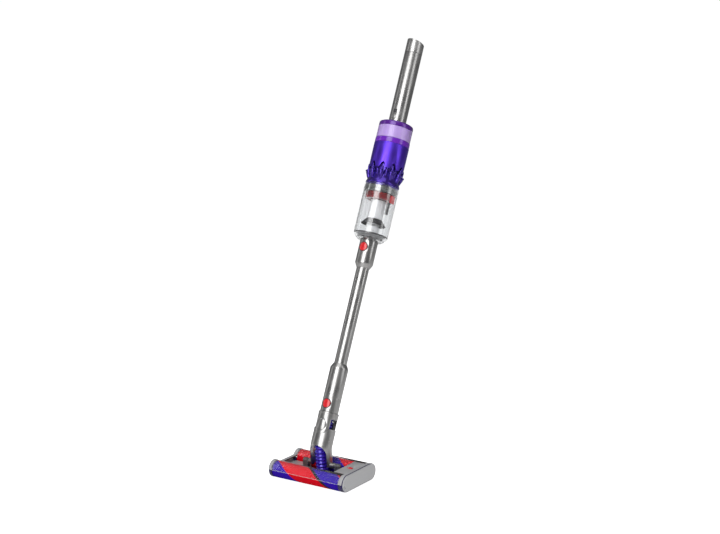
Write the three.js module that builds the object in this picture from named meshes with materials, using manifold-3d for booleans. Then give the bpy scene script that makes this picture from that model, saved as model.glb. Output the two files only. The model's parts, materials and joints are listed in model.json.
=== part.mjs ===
// Cordless stick vacuum: a straight tube of handle, filter, motor, cyclones, bin and wand,
// standing on a low head with two soft rollers. Millimetres, +X to the user's right,
// +Y to the back, +Z up. The stick leans back from the head, as it does in use.
import * as THREE from 'three';
import { mergeVertices } from 'three/addons/utils/BufferGeometryUtils.js';
import Module from 'manifold-3d';

const wasm = await Module();
wasm.setup();

// Driving dimensions. Heights along the stick are measured from the bend in the yoke.
const HEAD_WIDTH = 208;
const ROLLER_RADIUS = 19;
const ROLLER_SPACING = 97;
const COVER_RADIUS = 20.9;
const COVER_INNER = 19.8;
const PLATE_RADIUS = 19.9;
const PIVOT_HEIGHT = 36;
const ARCH_SPRING = 28;
const BEND = new THREE.Vector3(0, -5, 74.7);
const LEAN = THREE.MathUtils.degToRad(24.4);
const YOKE_HALF_WIDTH = 26;
const YOKE_HALF_DEPTH = 23.3;
const YOKE_WALL = 3;
const ROLL_AXIS = 52;
const NECK_RADIUS = 23.5;
const NECK_TOP = 83;
const HOSE_RADIUS = 12.8;
const COLLAR_RADIUS = 21.4;
const WAND_RADIUS = 15;
const SPIGOT_RADIUS = 16;
const LOWER_BUTTON = 102;
const UPPER_BUTTON = 477;
const WAND_BOTTOM = 196;
const WAND_TOP = 452;
const BIN_BOTTOM = 495.3;
const BIN_RADIUS = 41;
const BIN_TOP = 625;
const CONE_COUNT = 10;
const CONE_COLLAR = 658;
const CONE_CIRCLE = 37.4;
const CONE_TILT = 0.2;
const COVER_BOTTOM = 662;
const ARCH_HALF_WIDTH = 8.6;
const ARCH_TIP = 682;
const LUG_HALF_WIDTH = 5.6;
const MOTOR_BOTTOM = 697;
const EXHAUST_BOTTOM = 729.6;
const FILTER_BOTTOM = 742;
const FILTER_TOP = 778.4;
const HANDLE_RADIUS = 21;
const HANDLE_WALL = 2.1;
const HANDLE_BOTTOM = 731;
const POWER_BUTTON = 797;
const BOOST_BUTTON = 811;
const HANDLE_SEAM = 960;
const HANDLE_TOP = 993.6;
const CELL_RADIUS = 9;
const CELL_LENGTH = 65;
const CELL_BOTTOM = 822;
const MEDIA_BOTTOM = 743;
const MEDIA_TOP = 770.4;
const RELEASE_RADIUS = 10;
const HINGE_RADIUS = 6.5;
const HINGE_X = 43.6;
const HINGE_BORE = 2.9;
const ROLLER_LEFT = -94.2;
const ROLLER_RIGHT = 98.6;
const CAP_FACE = -95.2;
const DECK_LEFT = -94.8;
const HEAD_TOP = 39.8;
const GAP = 0.3;
const ROUND = 24;
const SMALL_ROUND = 16;

const rollerY = ROLLER_SPACING / 2;
const endX = HEAD_WIDTH / 2;

// The solids' surface finishes.
function finish(color, roughness, metalness) {
  return new THREE.MeshStandardMaterial({ color, roughness, metalness });
}
const nickel = finish(0x8f8f92, 0.25, 0.9);
const headGrey = finish(0xa9a9ad, 0.4, 0.5);
const violet = finish(0x3a1fb0, 0.25, 0.4);
const darkViolet = finish(0x24106a, 0.3, 0.2);
const lilac = finish(0xbfa8e8, 0.35, 0);
const red = finish(0xc8102e, 0.35, 0);
const clear = finish(0xe8eef2, 0.05, 0);
const darkGrey = finish(0x3a3b3f, 0.5, 0.1);
const rubber = finish(0x26272a, 0.8, 0);
const silver = finish(0xc9c9cc, 0.4, 0.7);
const steel = finish(0xb5b7ba, 0.3, 1);
const copper = finish(0xb4683a, 0.4, 0.8);
const board = finish(0x1f6b3a, 0.6, 0);
const fleece = finish(0xb01030, 0.95, 0);
const paper = finish(0xe6e2ee, 0.9, 0);
const cellBlue = finish(0x3a6ea8, 0.45, 0);

// A closed geometry with shared vertices, no slivers, and faces pointing out.
function closed(geometry) {
  const bare = geometry.clone();
  bare.deleteAttribute('normal');
  bare.deleteAttribute('uv');
  const merged = mergeVertices(bare, 1e-4);
  const corners = merged.index.array;
  const kept = [];
  let volume = 0;
  const a = new THREE.Vector3();
  const b = new THREE.Vector3();
  const c = new THREE.Vector3();
  for (let i = 0; i < corners.length; i += 3) {
    const [p, q, r] = [corners[i], corners[i + 1], corners[i + 2]];
    if (p === q || q === r || r === p) continue;
    kept.push(p, q, r);
    a.fromBufferAttribute(merged.attributes.position, p);
    b.fromBufferAttribute(merged.attributes.position, q);
    c.fromBufferAttribute(merged.attributes.position, r);
    volume += a.dot(b.cross(c));
  }
  merged.setIndex(volume < 0 ? kept.reverse() : kept);
  return merged;
}

function solid(geometry) {
  const whole = closed(geometry);
  return new wasm.Manifold(new wasm.Mesh({
    numProp: 3,
    vertProperties: Float32Array.from(whole.attributes.position.array),
    triVerts: Uint32Array.from(whole.index.array),
  }));
}

function geometryOf(manifold) {
  const mesh = manifold.getMesh();
  const geometry = new THREE.BufferGeometry();
  const points = [];
  for (let i = 0; i < mesh.vertProperties.length; i += mesh.numProp) {
    points.push(...mesh.vertProperties.slice(i, i + 3));
  }
  geometry.setAttribute('position', new THREE.Float32BufferAttribute(points, 3));
  geometry.setIndex(Array.from(mesh.triVerts));
  return geometry;
}

function join(...geometries) {
  return geometryOf(geometries.map(solid).reduce((all, next) => all.add(next)));
}

function cut(geometry, ...tools) {
  return geometryOf(tools.map(solid).reduce((left, tool) => left.subtract(tool), solid(geometry)));
}

function common(geometry, ...tools) {
  return geometryOf(tools.map(solid).reduce((left, tool) => left.intersect(tool), solid(geometry)));
}

// A solid of revolution about Z from [radius, height] points.
function revolve(points, segments = ROUND) {
  const profile = points.map(([radius, height]) => new THREE.Vector2(radius, height));
  const first = profile[0];
  const last = profile[profile.length - 1];
  if (first.x > 0 || last.x > 0) profile.push(first.clone());
  return new THREE.LatheGeometry(profile, segments).rotateX(Math.PI / 2);
}

function tube(inner, outer, bottom, top, segments = ROUND) {
  return revolve([[inner, bottom], [outer, bottom], [outer, top], [inner, top]], segments);
}

function disc(radius, bottom, top, segments = ROUND) {
  return revolve([[0, bottom], [radius, bottom], [radius, top], [0, top]], segments);
}

function box(x0, x1, y0, y1, z0, z1) {
  const geometry = new THREE.BoxGeometry(x1 - x0, y1 - y0, z1 - z0);
  return geometry.translate((x0 + x1) / 2, (y0 + y1) / 2, (z0 + z1) / 2);
}

// A round bar along X between x0 and x1, with an optional bore.
function barX(radius, x0, x1, y, z, bore = 0, segments = SMALL_ROUND) {
  const shape = bore > 0 ? tube(bore, radius, x0, x1, segments) : disc(radius, x0, x1, segments);
  return shape.rotateY(Math.PI / 2).translate(0, y, z);
}

function barY(radius, y0, y1, z, segments = SMALL_ROUND) {
  return disc(radius, -y1, -y0, segments).rotateX(Math.PI / 2).translate(0, 0, z);
}

// A flat outline in the Y-Z plane, pushed along X from x0 to x1.
function slabX(shape, x0, x1) {
  const geometry = new THREE.ExtrudeGeometry(shape, {
    depth: x1 - x0, bevelEnabled: false, curveSegments: 10,
  });
  return geometry.rotateX(Math.PI / 2).rotateZ(Math.PI / 2).translate(x0, 0, 0);
}

// An oblong with round ends, centred on the two roller axes' height z.
function oblong(halfSpan, radius, z) {
  const shape = new THREE.Shape();
  shape.absarc(halfSpan, z, radius, -Math.PI / 2, Math.PI / 2);
  shape.absarc(-halfSpan, z, radius, Math.PI / 2, Math.PI * 1.5);
  return shape;
}

// A band of an arch about a roller's axis, from one angle to the other above the floor.
function archBand(y, inner, outer, fromDegrees, toDegrees, x0, x1) {
  const from = THREE.MathUtils.degToRad(fromDegrees);
  const to = THREE.MathUtils.degToRad(toDegrees);
  const shape = new THREE.Shape();
  shape.absarc(y, ROLLER_RADIUS, outer, from, to, false);
  shape.absarc(y, ROLLER_RADIUS, inner, to, from, true);
  return slabX(shape, x0, x1);
}

function mesh(name, geometry, material) {
  const piece = new THREE.Mesh(closed(geometry), material);
  piece.name = name;
  return piece;
}

// ---- Handle and battery ----

// A push button that follows the round wall it sits in.
function wallButton(radius, height, inner, outer) {
  const stud = barY(radius, -outer - 5, -inner + 5, height);
  return common(stud, tube(inner, outer, height - radius - 2, height + radius + 2));
}

function handleTube() {
  const wall = tube(HANDLE_RADIUS - HANDLE_WALL, HANDLE_RADIUS, HANDLE_BOTTOM, HANDLE_SEAM);
  return cut(wall, barY(5.4, -30, 0, POWER_BUTTON), barY(4.4, -30, 0, BOOST_BUTTON));
}

function batteryEndCap() {
  const cap = revolve([
    [HANDLE_RADIUS - HANDLE_WALL, HANDLE_SEAM + GAP], [HANDLE_RADIUS, HANDLE_SEAM + GAP],
    [HANDLE_RADIUS, HANDLE_TOP - 4], [HANDLE_RADIUS - 1.3, HANDLE_TOP - 1.3],
    [HANDLE_RADIUS - 4, HANDLE_TOP], [0, HANDLE_TOP], [0, HANDLE_TOP - 18],
    [HANDLE_RADIUS - HANDLE_WALL, HANDLE_TOP - 18],
  ]);
  const slant = box(-40, 40, -40, 40, 0, 60).rotateX(-0.22).translate(0, 0, HANDLE_TOP - 3);
  return cut(cap, slant);
}

function batteryCells() {
  const cells = [];
  for (let layer = 0; layer < 2; layer += 1) {
    for (const side of [-1, 1]) {
      const bottom = CELL_BOTTOM + layer * (CELL_LENGTH + 2);
      const can = revolve([
        [0, bottom], [CELL_RADIUS, bottom], [CELL_RADIUS, bottom + CELL_LENGTH - 1.5],
        [3, bottom + CELL_LENGTH - 1.5], [3, bottom + CELL_LENGTH], [0, bottom + CELL_LENGTH],
      ], SMALL_ROUND);
      can.translate(side * 9.3, 0, 0);
      cells.push(mesh(`battery_cell_${cells.length + 1}`, can, cellBlue));
    }
  }
  return cells;
}

function handlePieces() {
  return [
    mesh('handle_tube', handleTube(), nickel),
    mesh('power_button', wallButton(5, POWER_BUTTON, 18, HANDLE_RADIUS + 0.5), red),
    mesh('boost_button', wallButton(4, BOOST_BUTTON, 18, HANDLE_RADIUS + 0.3), darkGrey),
    mesh('control_board', box(-11, 11, -15, -13.4, 786, 818), board),
    mesh('battery_contacts', disc(17.8, 818.6, 821.5, SMALL_ROUND), darkGrey),
    ...batteryCells(),
    mesh('battery_board', disc(17.8, 955.5, 957.5, SMALL_ROUND), board),
    mesh('battery_end_cap', batteryEndCap(), nickel),
  ];
}

// ---- Filter ----

// A paper pack folded into pleats round the handle.
function pleatedMedia() {
  const pleats = 30;
  const shape = new THREE.Shape();
  for (let i = 0; i < pleats * 2; i += 1) {
    const angle = (i * Math.PI) / pleats;
    const radius = i % 2 === 0 ? 36.8 : 31;
    const point = [radius * Math.cos(angle), radius * Math.sin(angle)];
    if (i === 0) shape.moveTo(...point);
    else shape.lineTo(...point);
  }
  const bore = new THREE.Path();
  bore.absarc(0, 0, 25, 0, Math.PI * 2, true);
  shape.holes.push(bore);
  const pack = new THREE.ExtrudeGeometry(shape, {
    depth: MEDIA_TOP - MEDIA_BOTTOM, bevelEnabled: false, curveSegments: 15,
  });
  return pack.translate(0, 0, MEDIA_BOTTOM);
}

function filterPieces() {
  const cap = revolve([
    [22.6, 771], [40.9, 771], [40.9, 774], [39.5, 776.6], [36.5, FILTER_TOP], [22.6, FILTER_TOP],
  ]);
  return [
    mesh('filter_cap', cap, darkViolet),
    mesh('filter_cover', tube(39.4, 41, FILTER_BOTTOM + GAP, 770.7), lilac),
    mesh('filter_media', pleatedMedia(), paper),
    mesh('filter_seal', tube(24, 37, 740.6, 742.6), rubber),
  ];
}

// ---- Motor ----

function motorBucket() {
  const top = EXHAUST_BOTTOM - 1;
  const cup = revolve([
    [33.5, MOTOR_BOTTOM], [36, MOTOR_BOTTOM], [36, top], [6.4, top], [6.4, top - 3], [33.5, top - 3],
  ]);
  const ring = tube(6.4, 8.6, MOTOR_BOTTOM, MOTOR_BOTTOM + 3, SMALL_ROUND);
  const spokes = [0, 1, 2].map((i) => (
    box(8, 34.5, -1.5, 1.5, MOTOR_BOTTOM, MOTOR_BOTTOM + 3).rotateZ((i * Math.PI * 2) / 3)
  ));
  return join(cup, ring, ...spokes);
}

function impeller() {
  const hub = revolve([[2.9, 678], [24, 678], [24, 679.5], [8, 690], [2.9, 690]]);
  const blades = [];
  for (let i = 0; i < 9; i += 1) {
    const blade = box(7, 23.5, -0.6, 0.6, 678.5, 688);
    blades.push(blade.rotateZ((i * Math.PI * 2) / 9));
  }
  return join(hub, ...blades);
}

function motorPieces() {
  const rotor = revolve([
    [0, 677], [2.5, 677], [2.5, 703], [11.5, 703], [11.5, 717], [2.5, 717], [2.5, 728], [0, 728],
  ], SMALL_ROUND);
  const upperBearing = EXHAUST_BOTTOM - 4 + 0.2;
  return [
    mesh('motor_bucket', motorBucket(), darkGrey),
    mesh('motor_stator', tube(13, 24, 702, 718), copper),
    mesh('motor_rotor', rotor, steel),
    mesh('impeller', impeller(), darkGrey),
    mesh('bearing_upper', tube(2.9, 6, upperBearing, upperBearing + 2.6, SMALL_ROUND), steel),
    mesh('bearing_lower', tube(2.9, 6, MOTOR_BOTTOM + 0.2, MOTOR_BOTTOM + 2.8, SMALL_ROUND), steel),
    mesh('exhaust_ring', tube(38, 41.6, EXHAUST_BOTTOM, FILTER_BOTTOM - GAP), darkViolet),
  ];
}

// ---- Cyclones ----

// The cones stand half a step to each side of the stick's front.
function coneTurn(index) {
  return ((index + 0.5) * Math.PI * 2) / CONE_COUNT;
}

// One pointed arch in the cover's lower edge, behind each cone's spike.
function coneArch(index) {
  const foot = COVER_BOTTOM - 5;
  const spring = COVER_BOTTOM + 2;
  const bend = (spring + ARCH_TIP) / 2;
  const shape = new THREE.Shape();
  shape.moveTo(-ARCH_HALF_WIDTH, foot);
  shape.lineTo(ARCH_HALF_WIDTH, foot);
  shape.lineTo(ARCH_HALF_WIDTH, spring);
  shape.quadraticCurveTo(ARCH_HALF_WIDTH * 0.8, bend, 0, ARCH_TIP);
  shape.quadraticCurveTo(-ARCH_HALF_WIDTH * 0.8, bend, -ARCH_HALF_WIDTH, spring);
  const arch = new THREE.ExtrudeGeometry(shape, { depth: 20, bevelEnabled: false, curveSegments: 2 });
  return arch.rotateX(Math.PI / 2).translate(0, -30, 0).rotateZ(coneTurn(index));
}

function cycloneCover() {
  const wall = revolve([
    [39.4, COVER_BOTTOM], [41.1, COVER_BOTTOM], [41.8, 700], [41.8, EXHAUST_BOTTOM - GAP],
    [39.9, EXHAUST_BOTTOM - GAP], [39.9, 700],
  ], CONE_COUNT * 2);
  const arches = [];
  for (let i = 0; i < CONE_COUNT; i += 1) arches.push(coneArch(i));
  return cut(wall, ...arches);
}

// A ring of cones that lean inwards to a waisted base, each with a proud collar and a spike.
function cyclonePack() {
  const base = revolve([
    [27, BIN_TOP + 0.2], [38, BIN_TOP + 0.2], [38, 629], [35.4, 633], [33.4, 640], [27, 640],
  ]);
  const cones = [];
  for (let i = 0; i < CONE_COUNT; i += 1) {
    const cone = revolve([
      [0, -23], [4, -23], [6.2, -6], [7.2, -1], [7.2, 1.5], [3, 3], [0.8, 17], [0, 17],
    ], 10);
    cone.rotateX(CONE_TILT).translate(0, -CONE_CIRCLE, CONE_COLLAR);
    cones.push(cone.rotateZ(coneTurn(i)));
  }
  return join(base, ...cones);
}

// ---- Bin ----

function binPieces() {
  const bin = revolve([
    [39, 508.8], [BIN_RADIUS, 508.8], [BIN_RADIUS, BIN_TOP], [39.6, 630], [38.6, 630], [39, BIN_TOP],
  ]);
  const base = revolve([
    [16.7, BIN_BOTTOM], [30, BIN_BOTTOM], [39.8, 507], [39.8, 508.5], [34, 508.5], [28, 500],
    [16.7, 500],
  ]);
  const skirt = revolve([
    [16.5, 548], [18.8, 548], [29.5, 535.2], [29.5, 533.7], [27.6, 533.7], [16.5, 546.2],
  ]);
  return [
    mesh('clear_bin', bin, clear),
    mesh('bin_base', base, darkGrey),
    mesh('bin_base_seal', tube(36, 38.6, 508.8, 511), rubber),
    mesh('bin_top_ring', tube(27, 38.5, 609.7, BIN_TOP - 0.2), darkGrey),
    mesh('release_ring', tube(19.2, 33.5, 593.2, 609.4), red),
    mesh('release_catch', box(34.2, 37.6, -7, 7, 590, 608), red),
    mesh('release_rail', box(25, 31, -3, 3, 562, 592.8), darkGrey),
    mesh('shroud', tube(16.6, 18.5, 548.3, 592.9), silver),
    mesh('wiper_skirt', skirt, rubber),
    mesh('inlet_pipe', tube(14, SPIGOT_RADIUS, WAND_TOP + 3, 590), silver),
    mesh('cyclone_pack', cyclonePack(), violet),
    mesh('cyclone_cover', cycloneCover(), violet),
  ];
}

// ---- Wand ----

function wandPieces() {
  const upper = revolve([
    [15.4, 429], [16.2, 429], [COLLAR_RADIUS, 439.3], [COLLAR_RADIUS, BIN_BOTTOM - 0.4],
    [16.8, BIN_BOTTOM - 0.4], [16.8, 454], [15.4, 452],
  ]);
  const lower = revolve([
    [16.8, NECK_TOP + 0.2], [COLLAR_RADIUS, NECK_TOP + 0.2], [COLLAR_RADIUS, 188.4], [16, 198.4],
    [15.4, 198.4], [15.4, 192], [16.8, 190],
  ]);
  const upperHole = barY(RELEASE_RADIUS + 0.6, -40, 0, UPPER_BUTTON);
  const lowerHole = barY(RELEASE_RADIUS + 0.6, -40, 0, LOWER_BUTTON);
  return [
    mesh('upper_collar', cut(upper, upperHole), nickel),
    mesh('lower_collar', cut(lower, lowerHole), nickel),
    mesh('wand_tube', tube(WAND_RADIUS - 1.4, WAND_RADIUS, WAND_BOTTOM, WAND_TOP), nickel),
    mesh('upper_release_button', wallButton(RELEASE_RADIUS, UPPER_BUTTON, 18.6, COLLAR_RADIUS + 0.5), red),
    mesh('lower_release_button', wallButton(RELEASE_RADIUS, LOWER_BUTTON, 18.6, COLLAR_RADIUS + 0.5), red),
  ];
}

// ---- Neck: the connector that rolls on the yoke ----

// A socket with a flange, and two round tongues that hang over the roll axis.
function connector() {
  const shell = revolve([
    [22, 30], [NECK_RADIUS, 30], [NECK_RADIUS, 79.7], [24.1, 79.7], [24.1, NECK_TOP - 0.1],
    [SPIGOT_RADIUS, NECK_TOP - 0.1], [SPIGOT_RADIUS, 112], [14, 112], [14, 79], [22, 74],
  ]);
  const keep = join(box(-60, 60, -60, 60, ROLL_AXIS, 130), barY(21, -60, 60, ROLL_AXIS, ROUND));
  const windows = [-1, 1].map((side) => box(-7, 7, -60, 60, 20, 68).translate(side * 25.2, 0, 0));
  return cut(common(shell, keep), ...windows, barY(13.2, -60, 60, ROLL_AXIS, ROUND));
}

// The pivot's place seen from the bend, in the stick's own directions.
const pivot = new THREE.Vector3(0, 0, PIVOT_HEIGHT).sub(BEND);
pivot.applyAxisAngle(new THREE.Vector3(1, 0, 0), LEAN);

function neckPath(below, above) {
  const down = pivot.clone().normalize();
  const points = [
    pivot.clone().addScaledVector(down, below), pivot.clone().multiplyScalar(0.5),
    pivot.clone().multiplyScalar(0.15), new THREE.Vector3(0, 0, 8), new THREE.Vector3(0, 0, 22),
    new THREE.Vector3(0, 0, above),
  ];
  return new THREE.CatmullRomCurve3(points, false, 'centripetal');
}

function sweep(outline, path, steps) {
  return new THREE.ExtrudeGeometry(outline, {
    steps, extrudePath: path, bevelEnabled: false, curveSegments: 8,
  });
}

function ovalShape(halfWidth, halfDepth) {
  const shape = new THREE.Shape();
  shape.absellipse(0, 0, halfWidth, halfDepth, 0, Math.PI * 2, false, 0);
  return shape;
}

// The fork that carries the stick on the head: an oval sleeve with an arch cut through it,
// two legs ending in hinge barrels, and two lugs for the roll bosses.
function yoke() {
  const sleeve = sweep(ovalShape(YOKE_HALF_WIDTH, YOKE_HALF_DEPTH), neckPath(1, 48), 7);
  const hollow = sweep(
    ovalShape(YOKE_HALF_WIDTH - YOKE_WALL, YOKE_HALF_DEPTH - YOKE_WALL), neckPath(6, 56), 8,
  );
  const arch = new THREE.Shape();
  arch.moveTo(-23, -20);
  arch.lineTo(23, -20);
  arch.lineTo(23, ARCH_SPRING);
  arch.absellipse(0, ARCH_SPRING, 23, 25, 0, Math.PI, false, 0);
  const archTool = new THREE.ExtrudeGeometry(arch, { depth: 100, bevelEnabled: false, curveSegments: 8 });
  archTool.translate(0, 0, -50).rotateX(Math.PI / 2);
  archTool.rotateX(Math.atan2(pivot.y, -pivot.z)).translate(0, pivot.y, pivot.z);
  const top = box(-40, 40, -40, 40, 45, 80);
  const fork = cut(sleeve, hollow, archTool, top, barY(21.8, -60, 60, ROLL_AXIS, ROUND));
  const additions = [];
  for (const side of [-1, 1]) {
    const lug = [-LUG_HALF_WIDTH, LUG_HALF_WIDTH];
    additions.push(barX(HINGE_RADIUS, -6.4, 6.4, pivot.y, pivot.z).translate(side * 29.8, 0, 0));
    additions.push(box(...lug, -1.3, 1.3, 24, ROLL_AXIS).translate(0, side * 14.7, 0));
    additions.push(barY(11, -1.3, 1.3, ROLL_AXIS).translate(0, side * 14.7, 0));
    additions.push(box(...lug, -4.1, 4.1, 22, 29.5).translate(0, side * 17.5, 0));
  }
  return cut(join(fork, ...additions), barX(HINGE_BORE, -60, 60, pivot.y, pivot.z));
}

function hose() {
  const outline = ovalShape(HOSE_RADIUS, HOSE_RADIUS);
  const bore = new THREE.Path();
  bore.absellipse(0, 0, HOSE_RADIUS - 1.5, HOSE_RADIUS - 1.5, 0, Math.PI * 2, true, 0);
  outline.holes.push(bore);
  return sweep(outline, neckPath(20, 72), 9);
}

function rollBoss(side) {
  const stud = barY(12.6, 16.4, 30, ROLL_AXIS, ROUND);
  if (side < 0) stud.rotateZ(Math.PI);
  return common(stud, disc(NECK_RADIUS, 20, 80));
}

function neckPieces() {
  return [
    mesh('connector', connector(), nickel),
    mesh('yoke', yoke(), nickel),
    mesh('roll_boss_front', rollBoss(-1), nickel),
    mesh('roll_boss_rear', rollBoss(1), nickel),
    mesh('hose', hose(), darkViolet),
  ];
}

// ---- Head ----

// The floor plate, the left deck, the duct collar, the hinge lugs and the right end's block
// and arches, in one moulding.
function headChassis() {
  const floor = box(DECK_LEFT, 90, -28, 28, 2, 4.6);
  const deck = cut(box(DECK_LEFT, -54, -27, 27, 4.5, 17), box(-93, -50, -25, 25, 4.6, 15));
  const collar = disc(18, 4.5, 17, ROUND);
  const lugs = [];
  for (const side of [-1, 1]) {
    const post = box(-6.6, 6.6, -HINGE_RADIUS, HINGE_RADIUS, 4.5, PIVOT_HEIGHT);
    lugs.push(post.translate(side * HINGE_X, 0, 0));
    lugs.push(barX(HINGE_RADIUS, -6.6, 6.6, 0, PIVOT_HEIGHT).translate(side * HINGE_X, 0, 0));
  }
  const roller = (radius, x0, x1, side) => (
    barX(radius, x0, x1, side * rollerY, ROLLER_RADIUS, 0, ROUND)
  );
  const block = cut(
    box(64, 90, -42, 42, 4.5, HEAD_TOP), box(60, 91, -24, 24, 6.5, 37), box(60, 95, -60, 60, 0, 4.4),
    roller(COVER_RADIUS + 0.5, 60, 95, -1), roller(COVER_RADIUS + 0.5, 60, 95, 1),
  );
  const frame = cut(
    box(89.8, 99.6, -46, 46, 4.5, HEAD_TOP), box(86, 97, -24, 24, 6.5, 37),
    roller(20.2, 80, 105, -1), roller(20.2, 80, 105, 1),
  );
  const arches = [-1, 1].map((side) => (
    archBand(side * rollerY, 20, COVER_RADIUS, 0, 180, 90.2, 99.6)
  ));
  const whole = join(floor, deck, collar, ...lugs, block, frame, ...arches);
  return cut(
    whole, disc(15.6, 0, 30, ROUND), barX(HINGE_BORE, -70, 60, 0, PIVOT_HEIGHT),
    box(73, 86, -6.4, 2.4, 38.6, 45),
  );
}

function leftEndCap() {
  const discs = [-1, 1].map((side) => (
    barX(PLATE_RADIUS, -endX, CAP_FACE, side * rollerY, PLATE_RADIUS + 1, 0, ROUND)
  ));
  const bar = box(-endX, CAP_FACE, -rollerY, rollerY, 3, 30.5);
  const pocket = slabX(oblong(rollerY, 10, ROLLER_RADIUS), -102.4, -90);
  return cut(join(...discs, bar), pocket);
}

function driveBelt() {
  const loop = oblong(rollerY, 8.6, ROLLER_RADIUS);
  const inside = oblong(rollerY, 7.4, ROLLER_RADIUS);
  loop.holes.push(new THREE.Path(inside.getPoints(10).reverse()));
  return slabX(loop, -101, -96.5);
}

function rollerPieces(place, y) {
  const ends = [ROLLER_LEFT, ROLLER_RIGHT, y, ROLLER_RADIUS];
  const core = barX(12.5, ...ends, 10.2, ROUND);
  const pile = barX(ROLLER_RADIUS, ...ends, 12.9, ROUND);
  return [
    mesh(`${place}_roller_core`, core, darkViolet),
    mesh(`${place}_roller`, pile, fleece),
    mesh(`${place}_pulley`, barX(7, -101.4, -95.4, y, ROLLER_RADIUS), darkGrey),
  ];
}

function headPieces() {
  const front = archBand(-rollerY, COVER_INNER, COVER_RADIUS, 30, 172, DECK_LEFT, 89.8);
  const rear = archBand(rollerY, COVER_INNER, COVER_RADIUS, 8, 150, DECK_LEFT, 89.8);
  const latch = box(75.4, 85.6, -6, 2, 38.9, 41.2);
  return [
    mesh('head_chassis', headChassis(), headGrey),
    mesh('left_end_cap', leftEndCap(), headGrey),
    mesh('front_cover', front, clear),
    mesh('rear_cover', rear, clear),
    mesh('end_plate', slabX(oblong(rollerY, PLATE_RADIUS, PLATE_RADIUS + 1), 100, endX), headGrey),
    mesh('head_latch', latch, red),
    mesh('pitch_pin_left', barX(2.5, -49.5, -24.5, 0, PIVOT_HEIGHT), steel),
    mesh('pitch_pin_right', barX(2.5, 24.5, 49.5, 0, PIVOT_HEIGHT), steel),
    mesh('drive_motor', barX(9.2, -94, -20, -rollerY, ROLLER_RADIUS), steel),
    mesh('drive_belt', driveBelt(), rubber),
    ...rollerPieces('front', -rollerY),
    ...rollerPieces('rear', rollerY),
  ];
}

const stick = new THREE.Group();
stick.position.copy(BEND);
stick.rotation.x = -LEAN;
stick.add(
  ...handlePieces(), ...filterPieces(), ...motorPieces(), ...binPieces(), ...wandPieces(),
  ...neckPieces(),
);

const vacuum = new THREE.Group();
vacuum.add(stick, ...headPieces());

// The origin is the middle of the whole object's box, on the floor.
const bounds = new THREE.Box3().setFromObject(vacuum, true);
const middle = bounds.getCenter(new THREE.Vector3());
vacuum.position.set(-middle.x, -middle.y, -bounds.min.z);

export default vacuum;
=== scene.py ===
import json
import math

import bpy
from bpy.props import FloatProperty, FloatVectorProperty, IntProperty, PointerProperty
from mathutils import Matrix, Vector


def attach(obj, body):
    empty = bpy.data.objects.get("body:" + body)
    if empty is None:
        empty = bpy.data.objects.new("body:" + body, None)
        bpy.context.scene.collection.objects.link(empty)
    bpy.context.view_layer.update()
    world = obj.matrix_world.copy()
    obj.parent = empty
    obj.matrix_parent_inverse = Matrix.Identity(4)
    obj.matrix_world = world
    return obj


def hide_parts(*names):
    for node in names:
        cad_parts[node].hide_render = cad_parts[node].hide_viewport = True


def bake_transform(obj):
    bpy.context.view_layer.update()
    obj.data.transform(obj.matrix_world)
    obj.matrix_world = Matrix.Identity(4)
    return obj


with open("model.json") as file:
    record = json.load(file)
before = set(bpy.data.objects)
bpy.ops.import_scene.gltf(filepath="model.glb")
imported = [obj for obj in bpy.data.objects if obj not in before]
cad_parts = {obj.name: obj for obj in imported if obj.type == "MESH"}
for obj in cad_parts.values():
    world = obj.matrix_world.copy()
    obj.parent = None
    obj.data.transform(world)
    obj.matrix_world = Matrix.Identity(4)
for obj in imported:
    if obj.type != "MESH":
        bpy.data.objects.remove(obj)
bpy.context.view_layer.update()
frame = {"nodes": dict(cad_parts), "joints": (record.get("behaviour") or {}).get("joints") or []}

bl_info = {
    "name": "Stick vacuum builder",
    "version": (1, 0, 0),
    "blender": (4, 5, 0),
    "location": "3D View > Sidebar > Vacuum",
    "description": "Models a cordless stick vacuum round its packed frame",
    "category": "Object",
}

JOINTS = {joint["name"]: joint for joint in frame["joints"]}
MM = 0.001

# The stick is modelled upright from the bend, the head on the floor under its hinge; STICK and
# HEAD carry each to its place in the frame.
PIVOT = Vector(JOINTS["head_pitch"]["pos_m"])
STICK_UP = Vector(JOINTS["filter_lift"]["axis"]).normalized()
LEAN = math.atan2(STICK_UP.y, STICK_UP.z)
BEND_ABOVE_PIVOT = Vector((0, -5, 38.7))
BEND = PIVOT + BEND_ABOVE_PIVOT * MM
STICK = Matrix.Translation(BEND) @ Matrix.Rotation(-LEAN, 4, "X")
HEAD = Matrix.Translation((PIVOT.x, PIVOT.y, 0))
PIVOT_HEIGHT = PIVOT.z / MM

# Stations along the stick and head sizes, in millimetres, as the frame has them.
ROLL_AXIS = (Vector(JOINTS["neck_roll"]["pos_m"]) - BEND).dot(STICK_UP) / MM
NECK_RADIUS = 23.5
COLLAR_RADIUS = 21.4
GRIP_RADIUS = 21.0
BUTTON_WELL = 11.8
POWER_KEY = 797.0
BOOST_KEY = 811.0
UPPER_BUTTON = 477.0
LOWER_BUTTON = 102.0
CONE_COUNT = 10
CONE_COLLAR = 658.5
TONGUE_Y = 14.7
LUG_HALF_WIDTH = 5.6
ROLLER_Y = 48.5
ROLLER_RADIUS = 19.0
STRIPE_PERIOD = 160.0
COVER_RADIUS = 20.9
CAP_HEIGHT = 20.9
HALF_WIDTH = 104.0
COVER_LEFT = -94.8
COVER_RIGHT = 89.6
CAP_FACE = -95.2
HINGE_X = 43.6


def tint(label, about, value):
    return FloatVectorProperty(
        name=label, description=about, subtype="COLOR", size=3, min=0, max=1, default=value)


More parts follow.
